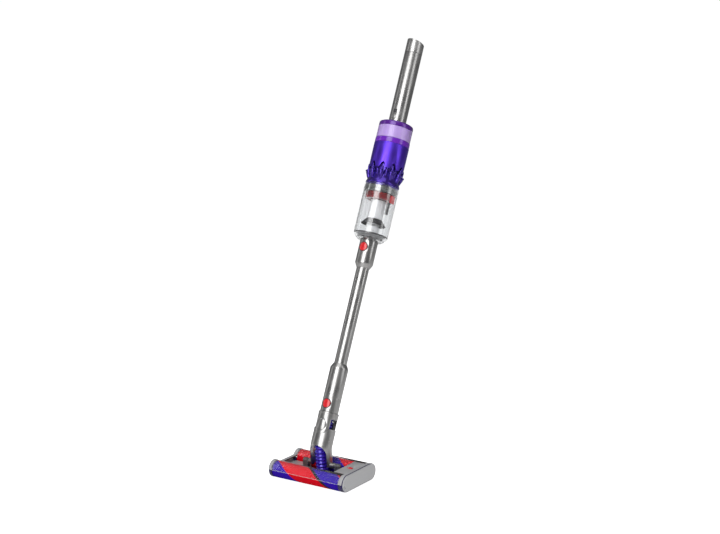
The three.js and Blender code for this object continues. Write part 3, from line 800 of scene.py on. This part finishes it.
def make_bin_base():
    """The dished base, with ribs inside, a dark rim and its seal."""
    dish = turned("bin_floor", [
        (16.8, 495.4), (29.2, 495.4), (30.2, 495.9), (35, 501), (39.2, 506), (39.9, 507.2),
        (39.9, 508.2), (39.4, 508.5), (36.4, 508.5), (35.8, 507.6), (31, 501.8), (27.6, 499),
        (24, 498), (16.8, 498), (16.8, 495.4)])
    on_stick(dish, "handheld", "clear", "clear", "bin_base")
    rib = block("floor_ribs", (19, -0.7, 498.2), (33, 0.7, 503.5))
    pick(rib, lambda p: p.x < 25 and p.z > 500)
    bpy.ops.transform.translate(value=(0, 0, -3 * MM))
    bpy.ops.object.mode_set(mode="OBJECT")
    ribs = ease(ring_of(rib, 12), 0.3, 40)
    hub = turned("hub", [
        (17, 498.1), (22.5, 498.1), (22.5, 503.4), (21.8, 504.4), (18, 505.2), (17, 505.2),
        (17, 498.1)])
    on_stick(joined("floor_ribs", [ribs, hub]), "handheld", "dark_grey", "dark_grey")
    seal = turned("base_seal", [
        (35.6, 508.9), (38.4, 508.9), (38.8, 509.4), (38.8, 510.6), (38.2, 511), (37, 511.2),
        (35.6, 510.4), (35.6, 508.9)])
    on_stick(seal, "handheld", "rubber", "rubber", "bin_base_seal")
    inner = turned("base_plate_ring", [
        (26, 504.2), (34.4, 507.4), (35.2, 508.2), (35.2, 510.4), (34.4, 511), (33, 510.6),
        (25, 506.2), (26, 504.2)])
    on_stick(inner, "handheld", "dark_grey", "dark_grey")


# ---- Wand ----

def make_release_buttons():
    for place, height in (("upper", UPPER_BUTTON), ("lower", LOWER_BUTTON)):
        button = push_button(place + "_button", 9.8, height, COLLAR_RADIUS, 0.45, 0.5)
        on_stick(button, place + "_key", "red", "red", place + "_release_button")


def button_bezel(name, height):
    """The dark ring round a release button, set into the collar's wall."""
    ring = turned(name, [(10.2, -26), (11.7, -26), (11.7, -14), (10.2, -14), (10.2, -26)], 64)
    ring = shift(turn(ring, -math.pi / 2, "X"), 0, 0, height)
    skin = turned("skin", [
        (19.6, height - 14), (COLLAR_RADIUS + 0.12, height - 14),
        (COLLAR_RADIUS + 0.12, height + 14), (19.6, height + 14), (19.6, height - 14)])
    front = block("front", (-20, -40, height - 20), (20, 0, height + 20))
    carve(ring, skin, front, operation="INTERSECT")
    on_stick(ease(ring, 0.2, 40), "wand", "dark_grey", "nickel_plastic")


def make_wand():
    upper = turned("upper_wand_collar", [
        (15.3, 429.2), (16, 429.2), (16.5, 430), (20.8, 438.4), (COLLAR_RADIUS, 440.4),
        (COLLAR_RADIUS, 464.2), (COLLAR_RADIUS, 489.8), (COLLAR_RADIUS, 494.4), (21, 494.8),
        (16.9, 494.8), (16.9, 454), (15.3, 452), (15.3, 429.2)])
    carve(upper, button_well(BUTTON_WELL, UPPER_BUTTON, COLLAR_RADIUS))
    on_stick(ease(upper, 0.25, 40), "wand", "nickel", "nickel_plastic", "upper_collar")
    lower = turned("lower_wand_collar", [
        (16.9, 83.4), (21, 83.4), (COLLAR_RADIUS, 83.8), (COLLAR_RADIUS, 89.4),
        (COLLAR_RADIUS, 114.6), (COLLAR_RADIUS, 115.8), (21.1, 116.1),
        (21.1, 116.5), (COLLAR_RADIUS, 116.8), (COLLAR_RADIUS, 187.4), (20.9, 189.2),
        (16.4, 197.6), (15.9, 198.3), (15.3, 198.3), (15.3, 192), (16.9, 190), (16.9, 83.4)])
    carve(lower, button_well(BUTTON_WELL, LOWER_BUTTON, COLLAR_RADIUS))
    on_stick(ease(lower, 0.25, 40), "wand", "nickel", "nickel_plastic", "lower_collar")
    tube = turned("wand_pipe", [
        (13.6, 196), (15, 196), (15, 452), (13.6, 452), (13.6, 196)])
    on_stick(tube, "wand", "nickel", "aluminium_tube", "wand_tube")
    button_bezel("upper_button_bezel", UPPER_BUTTON)
    button_bezel("lower_button_bezel", LOWER_BUTTON)


# ---- Neck ----

BEND_ARC = 40.0
BEND_ANGLE = LEAN + math.atan2(-BEND_ABOVE_PIVOT.y, BEND_ABOVE_PIVOT.z)
LEG_LENGTH = BEND_ABOVE_PIVOT.length


def neck_route(distance):
    """Place and tilt at a distance up from the pivot, along the legs, round the bend and on."""
    reach = BEND_ARC * math.tan(BEND_ANGLE / 2)
    arc = BEND_ARC * BEND_ANGLE
    foot = Vector((0, math.sin(BEND_ANGLE), -math.cos(BEND_ANGLE)))
    if distance < LEG_LENGTH - reach:
        return foot * (LEG_LENGTH - distance), BEND_ANGLE
    if distance > LEG_LENGTH - reach + arc:
        return Vector((0, 0, reach + distance - (LEG_LENGTH - reach + arc))), 0.0
    tilt = BEND_ANGLE - (distance - (LEG_LENGTH - reach)) / BEND_ARC
    centre = Vector((0, BEND_ARC, reach))
    return centre + Vector((0, -math.cos(tilt), -math.sin(tilt))) * BEND_ARC, tilt


# transform.rotate turns the other way when Blender runs without a window.
ROTATE_SIGN = -1


def threaded(name, stations, segments=64, oval=1.0):
    """A skin drawn along the neck's route: (distance, radius) rows, each ring set square to it."""
    deselect()
    distance, radius = stations[0]
    bpy.ops.mesh.primitive_circle_add(vertices=segments, radius=1.0)
    piece = bpy.context.object
    piece.name = name
    middle, tilt = neck_route(distance)
    piece.scale = (radius * MM * oval, radius * MM, radius * MM)
    piece.rotation_euler = (tilt, 0, 0)
    piece.location = middle * MM
    fix_in_place()
    edit_all(piece)
    for next_distance, next_radius in stations[1:]:
        next_middle, next_tilt = neck_route(next_distance)
        step = (next_middle - middle) * MM
        extrude(step)
        centre = next_middle * MM
        if next_tilt != tilt:
            bpy.ops.transform.rotate(
                value=ROTATE_SIGN * (next_tilt - tilt), orient_axis="X", center_override=centre)
        scale = next_radius / radius
        if scale != 1:
            bpy.ops.transform.resize(value=(scale, scale, scale), center_override=centre)
        middle, tilt, radius = next_middle, next_tilt, next_radius
    return close_up(piece)


def ribbed(name, start, end):
    """A stretch of corrugated hose."""
    pitch = settings().hose_pitch / MM
    rings = 6
    count = int((end - start) / pitch * rings)
    stations = []
    for index in range(count + 1):
        swell = 0.5 - 0.5 * math.cos(math.tau * index / rings)
        stations.append((start + index * pitch / rings, 11.8 + 3.0 * swell ** 0.8))
    return thicken(threaded(name, stations, 56), 0.8)


def make_hose():
    """The hose in two stretches: one bends at the pitch pins, one at the roll bosses."""
    split = LEG_LENGTH + route_offset(22)
    lower = ribbed("hose_lower", -24, split)
    settle(lower, STICK, "hose_violet", "dark_violet", "hose", smooth=60)
    upper = ribbed("hose_upper", split, LEG_LENGTH + route_offset(71))
    settle(upper, STICK, "hose_violet", "dark_violet", smooth=60)
    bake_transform(lower)
    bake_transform(upper)


def route_offset(height):
    """How much further the route runs to reach a height above the bend than the straight."""
    reach = BEND_ARC * math.tan(BEND_ANGLE / 2)
    return height - 2 * reach + BEND_ARC * BEND_ANGLE


def across(name, radius, low, high, height, segments=96):
    """A round bar along Y at a height on the stick, centred on its axis."""
    return along_y(dowel(name, radius, -high, -low, 0.05, segments), height)


def make_connector():
    shell = turned("neck_connector", [
        (22, 30), (NECK_RADIUS, 30), (NECK_RADIUS, 69.5), (NECK_RADIUS, 78.6), (24.1, 79.4),
        (24.1, 82.5), (23.7, 82.9),
        (16.3, 82.9), (16.1, 83.4), (16.1, 111.4), (15.6, 112), (14, 112), (14, 79), (22, 74),
        (22, 30)])
    outside = carve(block("outside", (-60, -60, 0), (60, 60, ROLL_AXIS)),
                    across("round", 21, -70, 70, ROLL_AXIS))
    carve(shell, outside, across("eye", 13.1, -60, 60, ROLL_AXIS))
    for side in (-1, 1):
        centre = side * 28.2
        window = block("window", (centre - 10, -60, 20), (centre + 10, 60, 68))
        carve(shell, ease(window, 2.5, 40, 4))
    on_stick(ease(shell, 0.35, 40), "neck", "nickel", "nickel_plastic", "connector")


def make_fork():
    """The oval sleeve that forks into two legs, its barrels, and the lugs for the roll bosses."""
    top = LEG_LENGTH + route_offset(46)
    stations = [(-2 + index * (top + 2) / 22, 23.3) for index in range(23)]
    skin = thicken(threaded("neck_fork", stations, 96, oval=26 / 23.3), 2.6)
    edit(skin)
    close_up(skin, fill=True)
    arch = shift(arch_tool(22.4, -30, 30, 53.5, 120, pointed=False), 0, 60, 0)
    foot, tilt = neck_route(0)
    arch.matrix_world = Matrix.Translation(foot * MM) @ Matrix.Rotation(tilt, 4, "X")
    activate(arch)
    fix_in_place()
    carve(skin, arch, across("saddle", 21.5, -60, 60, ROLL_AXIS),
          block("above", (-60, -60, 45), (60, 60, 90)))
    ease(skin, 0.7, 40, 3)
    barrels = []
    for side in (-1, 1):
        barrel = along_x(dowel("barrel", 6.6, 23, 36.4, 0.9, 64), foot.y, foot.z)
        barrels.append(turn(barrel, math.pi if side < 0 else 0, "Z", (0, foot.y, 0)))
        low, high = side * TONGUE_Y - 1.3, side * TONGUE_Y + 1.3
        plate = block("plate", (-LUG_HALF_WIDTH, low, 24), (LUG_HALF_WIDTH, high, ROLL_AXIS))
        eye = across("eye", 11, low, high, ROLL_AXIS, 64)
        step = block("step", (-LUG_HALF_WIDTH, side * 17.5 - 4.1, 22),
                     (LUG_HALF_WIDTH, side * 17.5 + 4.1, 29.5))
        barrels += [plate, eye, step]
    fork = joined("neck_fork", [skin, *barrels])
    on_stick(fork, "fork", "nickel", "nickel_plastic", "yoke")


def make_roll_bosses():
    for side, node in ((-1, "roll_boss_front"), (1, "roll_boss_rear")):
        low, high = (-30, -16.3) if side < 0 else (16.3, 30)
        boss = across("pivot_cap_" + ("front" if side < 0 else "rear"), 12.5, low, high, ROLL_AXIS)
        skin = turned("skin", [(NECK_RADIUS - 0.05, 20), (NECK_RADIUS - 0.05, 80)], fill=True)
        carve(boss, skin, operation="INTERSECT")
        on_stick(ease(boss, 0.35, 40), "fork", "nickel", "nickel_plastic", node)


# ---- Head ----

def oblong(name, span, radius, height, x0, x1):
    """A slab with round ends, in the plane of the head's side, from x0 to x1."""
    segments = 96
    deselect()
    bpy.ops.mesh.primitive_circle_add(
        vertices=segments, radius=radius * MM, fill_type="NGON", location=(0, 0, 0),
        rotation=(0, math.pi / 2, 0))
    slab = bpy.context.object
    slab.name = name
    fix_in_place()
    turn(slab, math.pi / segments, "X")
    for side in (-1, 1):
        pick(slab, lambda p: p.y * side > 0)
        bpy.ops.transform.translate(value=(0, side * span * MM, 0))
    edit_all(slab)
    extrude(((x1 - x0) * MM, 0, 0))
    close_up(slab, fill=True)
    return shift(slab, x0, 0, height)


def arch_band(name, y, inner, outer, from_degrees, to_degrees, x0, x1, steps=40):
    """Part of a round wall over a roller: a thin strip, spun about the roller's axis."""
    deselect()
    middle = (inner + outer) / 2
    bpy.ops.mesh.primitive_plane_add(size=1, location=((x0 + x1) / 2 * MM, middle * MM, 0))
    band = bpy.context.object
    band.name = name
    band.scale = ((x1 - x0) * MM, (outer - inner) * MM, 1)
    fix_in_place()
    turn(band, math.radians(from_degrees), "X")
    edit_all(band)
    bpy.ops.mesh.spin(
        steps=steps, angle=math.radians(to_degrees - from_degrees), center=(0, 0, 0),
        axis=(-1, 0, 0), dupli=False)
    close_up(band)
    return shift(band, 0, y, ROLLER_RADIUS)


def roller_bar(name, radius, x0, x1, side, edge=0.4, height=ROLLER_RADIUS):
    return along_x(dowel(name, radius, x0, x1, edge, 96), side * ROLLER_Y, height)


def make_chassis():
    deck = block("head_deck", (-94.6, -30, 2), (-50, 30, 18.5))
    carve(deck, roller_bar("cut", COVER_RADIUS + 0.5, -110, -40, -1),
          roller_bar("cut", COVER_RADIUS + 0.5, -110, -40, 1),
          block("under", (-93, -25, 0), (-40, 25, 15)))
    on_head(ease(deck, 0.8, 40, 3), "head", "head_grey", "head_grey", "head_chassis")
    floor = carve(block("head_floor", (-94.6, -27.6, 2), (89, 27.6, 4.6)),
                  dowel("inlet", 15.6, -5, 20, 0.1, 64))
    tower = turned("tower", [
        (15.7, 4.4), (18.6, 4.4), (18, 8), (18, 16.4), (17.4, 17), (16.2, 17), (15.7, 16.4),
        (15.7, 4.4)])
    on_head(joined("head_floor", [ease(floor, 0.5, 40), tower]), "head", "dark_grey", "head_grey")
    lugs = []
    for side in (-1, 1):
        inner, outer = side * HINGE_X - 6.5, side * HINGE_X + 6.5
        post = ease(block("post", (inner, -6.2, 4.5), (outer, 6.2, PIVOT_HEIGHT)), 1, 40)
        barrel = along_x(dowel("barrel", 6.5, inner, outer, 0.9, 64), 0, PIVOT_HEIGHT)
        band = along_x(dowel("band", 6.9, side * HINGE_X - 1.2, side * HINGE_X + 1.2, 0.4, 64),
                       0, PIVOT_HEIGHT)
        lugs += [post, barrel, band]
    on_head(joined("hinge_lugs", lugs), "head", "hinge_grey", "head_grey")


def make_end_block():
    """The right end's bridge between the rollers, its arches, and the pocket for the latch."""
    bridge = block("end_block", (62, -42, 4.5), (99.4, 42, 39.9))
    carve(bridge, block("hollow", (60, -24, 6.5), (97, 24, 36.5)),
          roller_bar("cut", 21.4, 40, 89.8, -1), roller_bar("cut", 21.4, 40, 89.8, 1),
          roller_bar("cut", 20.4, 80, 120, -1), roller_bar("cut", 20.4, 80, 120, 1),
          ease(block("pocket", (73.2, -6.2, 38.6), (86, 2.3, 45)), 1, 40))
    ease(bridge, 0.7, 40, 3)
    arches = [
        ease(arch_band("arch", side * ROLLER_Y, 19.9, COVER_RADIUS, start, end, 89.9, 99.4), 0.4, 40)
        for side, start, end in ((-1, 0, 172), (1, 8, 180))
    ]
    on_head(joined("end_block", [bridge, *arches]), "head", "head_grey", "head_grey")
    grips = [block("grip", (x, -9, 40.5), (x + 0.8, 9, 44)) for x in (77, 79, 81, 83)]
    latch = carve(block("latch_slide", (75.6, -5.8, 38.8), (85.4, 1.8, 41)), *grips)
    on_head(ease(latch, 0.4, 40), "latch", "red", "red", "head_latch")
    mark = ease(block("lock_mark", (69.2, -2.2, 39.8), (70.6, 2.2, 40.2)), 0.2, 40)
    on_head(mark, "head", "red", "red")


def make_end_caps():
    """Left cap with a round shoulder over each roller, and the flat plate on the right."""
    cap = roller_bar("left_cap", 19.9, -HALF_WIDTH, CAP_FACE, -1, 1.2, CAP_HEIGHT)
    other = roller_bar("other", 19.9, -HALF_WIDTH, CAP_FACE, 1, 1.2, CAP_HEIGHT)
    bar = block("bar", (-HALF_WIDTH + 0.4, -ROLLER_Y, 3), (-95.4, ROLLER_Y, 30.5))
    carve(cap, other, ease(bar, 1, 40), operation="UNION")
    carve(cap, block("notch", (-120, -90, -5), (-80, -29, 22)),
          block("notch", (-120, 29, -5), (-80, 90, 22)),
          oblong("pocket", ROLLER_Y, 10, ROLLER_RADIUS, -102, -90))
    on_head(ease(cap, 0.5, 45), "head", "head_grey", "head_grey", "left_end_cap")
    back = oblong("end_plate_back", ROLLER_Y, 19.9, CAP_HEIGHT, 99.9, 101.4)
    on_head(ease(back, 0.3, 50), "roller_end", "rim_violet", "dark_violet")
    plate = oblong("end_plate_flat", ROLLER_Y, 19.3, CAP_HEIGHT, 101.4, HALF_WIDTH)
    pick_faces(plate, lambda normal: normal.x > 0.9)
    bpy.ops.mesh.inset(thickness=1.5 * MM)
    bpy.ops.mesh.inset(thickness=0.3 * MM, depth=-0.3 * MM)
    bpy.ops.object.mode_set(mode="OBJECT")
    on_head(ease(plate, 0.8, 50, 3), "roller_end", "head_grey", "head_grey", "end_plate")


def make_covers():
    """The two clear covers, each with a thicker lip along its outer edge."""
    for name, side, start, end, lip in (
            ("front", -1, 30, 172, (169.5, 172.5)), ("rear", 1, 8, 150, (7.5, 10.5))):
        y = side * ROLLER_Y
        shell = ease(arch_band(name + "_shield", y, 19.8, COVER_RADIUS, start, end,
                               COVER_LEFT, COVER_RIGHT), 0.3, 40)
        on_head(shell, "head", "cover", "clear", name + "_cover")
        # Milky lip: painted highlight along the cover's outer edge.
        edge = ease(arch_band(name + "_shield_lip", y, 20, 21.2, *lip, -95, 89.8, 4), 0.4, 40)
        on_head(edge, "head", "cover_edge_highlight", "clear")


def make_rollers():
    """Each roller: piled sleeve, core, and the dark half ring of the left cap under it."""
    for y, place in ((-ROLLER_Y, "front"), (ROLLER_Y, "rear")):
        body = place + "_brush"
        stations = [(12.9, -93.6), (17.9, -93.6)]
        stations += [(ROLLER_RADIUS - 0.15, -93 + 4 * index) for index in range(46)]
        stations += [(17.9, 88), (12.9, 88), (12.9, -93.6)]
        pile = along_x(turned(place + "_fleece", stations, 160), y, ROLLER_RADIUS)
        roughen(pile)
        on_head(pile, body, place + "_fleece", "fleece", place + "_roller", smooth=60)
        core = turned("core", [
            (10.2, -94.2), (12.5, -94.2), (12.5, 98.4), (10.2, 98.4), (10.2, -94.2)], 64)
        right = turned("right", [
            (12.6, 88.2), (18.2, 88.2), (18.7, 88.8), (18.7, 90.6), (17.8, 91), (17.8, 92),
            (18.7, 92.4), (18.7, 95.4), (17.8, 95.8), (17.8, 96.8), (18.8, 97.2), (18.8, 98.8),
            (18.2, 99.2), (12.6, 99.2), (12.6, 88.2)], 96)
        hub = joined(place + "_core", [core, right])
        along_x(hub, y, ROLLER_RADIUS)
        on_head(ease(hub, 0.3, 40), body, "rim_violet", "dark_violet", place + "_roller_core")
        rim = turned(place + "_left_rim_and_shadow", [
            (10, -HALF_WIDTH + 0.4), (18, -HALF_WIDTH + 0.4), (19.3, -HALF_WIDTH + 1.4),
            (19.6, -101), (19.3, -100.6), (18.8, -100.4), (18.8, -99.6), (19.3, -99.4),
            (19.5, -96.2), (18.8, -95.3), (10, -95.3), (10, -HALF_WIDTH + 0.4)], 96)
        along_x(rim, y, 19.9)
        # Only the lower half is kept: a dark rim that also stands in as painted shadow under the
        # left cap.
        carve(rim, block("upper_half", (-120, y - 30, 21.9), (-80, y + 30, 60)))
        on_head(rim, "head", "rim_violet", "dark_violet")


def roughen(pile):
    """Breaks the pile's surface into fine tufts."""
    texture = bpy.data.textures.new("tufts", "CLOUDS")
    texture.noise_scale = 0.0022
    texture.noise_depth = 2
    activate(pile)
    rise = pile.modifiers.new("tufts", "DISPLACE")
    rise.texture = texture
    rise.strength = 0.7 * MM
    rise.mid_level = 0.9
    bpy.ops.object.modifier_apply(modifier=rise.name)


def make_pins():
    for side, name in ((-1, "left"), (1, "right")):
        shank = along_x(dowel("pitch_shaft_" + name, 2.5, 24.5, 49.5, 0.3, 32), 0, PIVOT_HEIGHT)
        head = along_x(dowel("head", 4.2, 50.2, 51.6, 0.5, 48), 0, PIVOT_HEIGHT)
        pin = joined("pitch_shaft_" + name, [shank, head])
        turn(pin, math.pi if side < 0 else 0, "Z")
        on_head(pin, "head", "steel", "steel", "pitch_pin_" + name)


# ---- Pieces that stay as the frame has them ----

INNER_FINISHES = {
    "control_board": "board", "battery_board": "board", "battery_contacts": "dark_grey",
    "motor_stator": "copper", "motor_rotor": "steel", "impeller": "dark_grey",
    "bearing_upper": "steel", "bearing_lower": "steel", "filter_seal": "rubber",
    "drive_motor": "steel", "drive_belt": "rubber", "front_pulley": "dark_grey",
    "rear_pulley": "dark_grey", "battery_cell_1": "cell", "battery_cell_2": "cell",
    "battery_cell_3": "cell", "battery_cell_4": "cell",
}


def finish_inner_pieces():
    for node, finish in INNER_FINISHES.items():
        piece = frame["nodes"][node]
        if not piece.material_slots:
            piece.data.materials.append(None)
        for slot in piece.material_slots:
            slot.material = MATERIALS[finish]


# ---- Stage ----

CAMERA_PLACE = Vector((2001.5, -2893.2, 1242.9))
CAMERA_AZIMUTH = 0.5803
CAMERA_PITCH = 0.2085


def stand(data, place, facing):
    """Puts a camera or a light in the scene."""
    item = bpy.data.objects.new(data.name, data)
    bpy.context.scene.collection.objects.link(item)
    item.matrix_world = Matrix.Translation(place) @ facing
    return item


def add_camera():
    data = bpy.data.cameras.new("camera")
    data.lens = 80
    data.sensor_width = 36
    data.clip_end = 50
    tilt = Matrix.Rotation(math.pi / 2 - CAMERA_PITCH, 4, "X")
    around = Matrix.Rotation(CAMERA_AZIMUTH, 4, "Z")
    bpy.context.scene.camera = stand(data, HEAD @ (CAMERA_PLACE * MM), around @ tilt)


def add_softbox(name, place, target, width, height, power):
    data = bpy.data.lights.new(name, "AREA")
    data.shape = "RECTANGLE"
    data.size = width
    data.size_y = height
    data.energy = power
    stand(data, place, (target - place).to_track_quat("-Z", "Y").to_matrix().to_4x4())


def add_world():
    """A dim grey room for light and reflections."""
    world = bpy.data.worlds.new("studio")
    world.use_nodes = True
    bpy.context.scene.world = world
    room = world.node_tree.nodes["Background"]
    room.inputs["Color"].default_value = (0.98, 0.99, 1.0, 1)
    room.inputs["Strength"].default_value = 0.18


def floor_material():
    """White paper that looks evenly lit wherever it is seen, directly or through clear pieces."""
    finish = Finish("studio floor", 0.9)
    grained = finish.group("Grain", Scale=40.0)
    paper = finish.mix(grained.outputs["Mask"], (0.93, 0.93, 0.93), (0.95, 0.95, 0.95))
    finish.set("Base Color", paper)
    path = finish.nodes.new("ShaderNodeLightPath")
    seen = finish.math(
        "MAXIMUM", path.outputs["Is Camera Ray"], path.outputs["Is Transmission Ray"])
    finish.set("Emission Strength", finish.math("MULTIPLY", seen, 0.85))
    finish.set("Emission Color", (1, 1, 1, 1))
    return finish.material


def make_stage():
    add_camera()
    deselect()
    bpy.ops.mesh.primitive_plane_add(size=90, location=(0, 0, 0))
    floor = bpy.context.object
    floor.name = "floor"
    floor.data.materials.append(floor_material())
    add_world()
    middle = Vector((0, 0, 0.5))
    for name, turn_right, rise, distance, width, height, power in SOFTBOXES:
        around = CAMERA_AZIMUTH - math.pi / 2 + math.radians(turn_right)
        level = Vector((math.cos(around), math.sin(around), 0)) * math.cos(math.radians(rise))
        place = middle + (level + Vector((0, 0, math.sin(math.radians(rise))))) * distance
        add_softbox(name, place, middle, width, height, power)
    bpy.context.scene.view_settings.view_transform = "Standard"


# Each softbox: degrees to the camera's right, degrees up, distance, width, height and watts.
SOFTBOXES = [
    ("key", -24, 30, 2.3, 1.4, 2.8, 44),
    ("fill", 66, 22, 2.4, 0.6, 2.4, 9),
    ("left edge", -104, 15, 2.2, 0.2, 2.4, 3),
    ("overhead", 0, 86, 2.4, 2.0, 2.0, 17),
]


# ---- Operators ----

def operator(idname, about, *steps):
    """An operator class that models one piece or one group of like pieces."""
    label = idname.replace("_", " ").capitalize()

    def execute(self, context):
        for step in steps:
            step()
        return {"FINISHED"}
    return type("VACUUM_OT_" + idname, (bpy.types.Operator,), {
        "__doc__": about, "bl_idname": "vacuum." + idname, "bl_label": label,
        "bl_options": {"REGISTER", "UNDO"}, "execute": execute})


OPERATORS = [
    operator("finishes", "Makes every finish of the vacuum", make_materials),
    operator("stage", "Adds the camera, floor and studio lights", make_stage),
    operator("grip", "Models the grip tube and its two keys", make_grip),
    operator("battery_cap", "Models the slanted cap of the battery", make_battery_cap),
    operator("filter", "Models the filter and the exhaust ring", make_filter),
    operator("cyclones", "Models the cyclone cover and its cones",
             make_cyclone_cover, make_cyclone_cones),
    operator("bin", "Models the clear bin and what it holds", make_bin),
    operator("wand", "Models the wand, its collars and bezels", make_wand),
    operator("release_buttons", "Models the two red release buttons", make_release_buttons),
    operator("connector", "Models the connector with its windows", make_connector),
    operator("fork", "Models the fork, its lugs and the roll bosses", make_fork, make_roll_bosses),
    operator("hose", "Models the ribbed hose in two stretches", make_hose),
    operator("chassis", "Models the head's deck, floor and hinge lugs", make_chassis),
    operator("end_block", "Models the right end's bridge and latch", make_end_block),
    operator("end_caps", "Models the left cap and the right plate", make_end_caps),
    operator("covers", "Models the clear covers over the rollers", make_covers),
    operator("rollers", "Models the two soft rollers and their rims", make_rollers),
    operator("pins", "Models the two pitch pins", make_pins),
    operator("inner_pieces", "Finishes the pieces kept from the frame", finish_inner_pieces),
]


class VACUUM_PT_panel(bpy.types.Panel):
    """Lists the steps that build the vacuum."""

    bl_label = "Stick vacuum"
    bl_idname = "VACUUM_PT_panel"
    bl_space_type = "VIEW_3D"
    bl_region_type = "UI"
    bl_category = "Vacuum"

    def draw(self, context):
        for step in OPERATORS:
            self.layout.operator(step.bl_idname)
        for name in VacuumSettings.__annotations__:
            self.layout.prop(context.scene.vacuum_settings, name)


CLASSES = [VacuumSettings, *OPERATORS, VACUUM_PT_panel]


def register():
    for item in CLASSES:
        bpy.utils.register_class(item)
    bpy.types.Scene.vacuum_settings = PointerProperty(type=VacuumSettings)


def unregister():
    del bpy.types.Scene.vacuum_settings
    for item in reversed(CLASSES):
        bpy.utils.unregister_class(item)


def main():
    register()
    for step in OPERATORS:
        getattr(bpy.ops.vacuum, step.bl_idname.split(".")[1])()


if __name__ == "__main__":
    main()
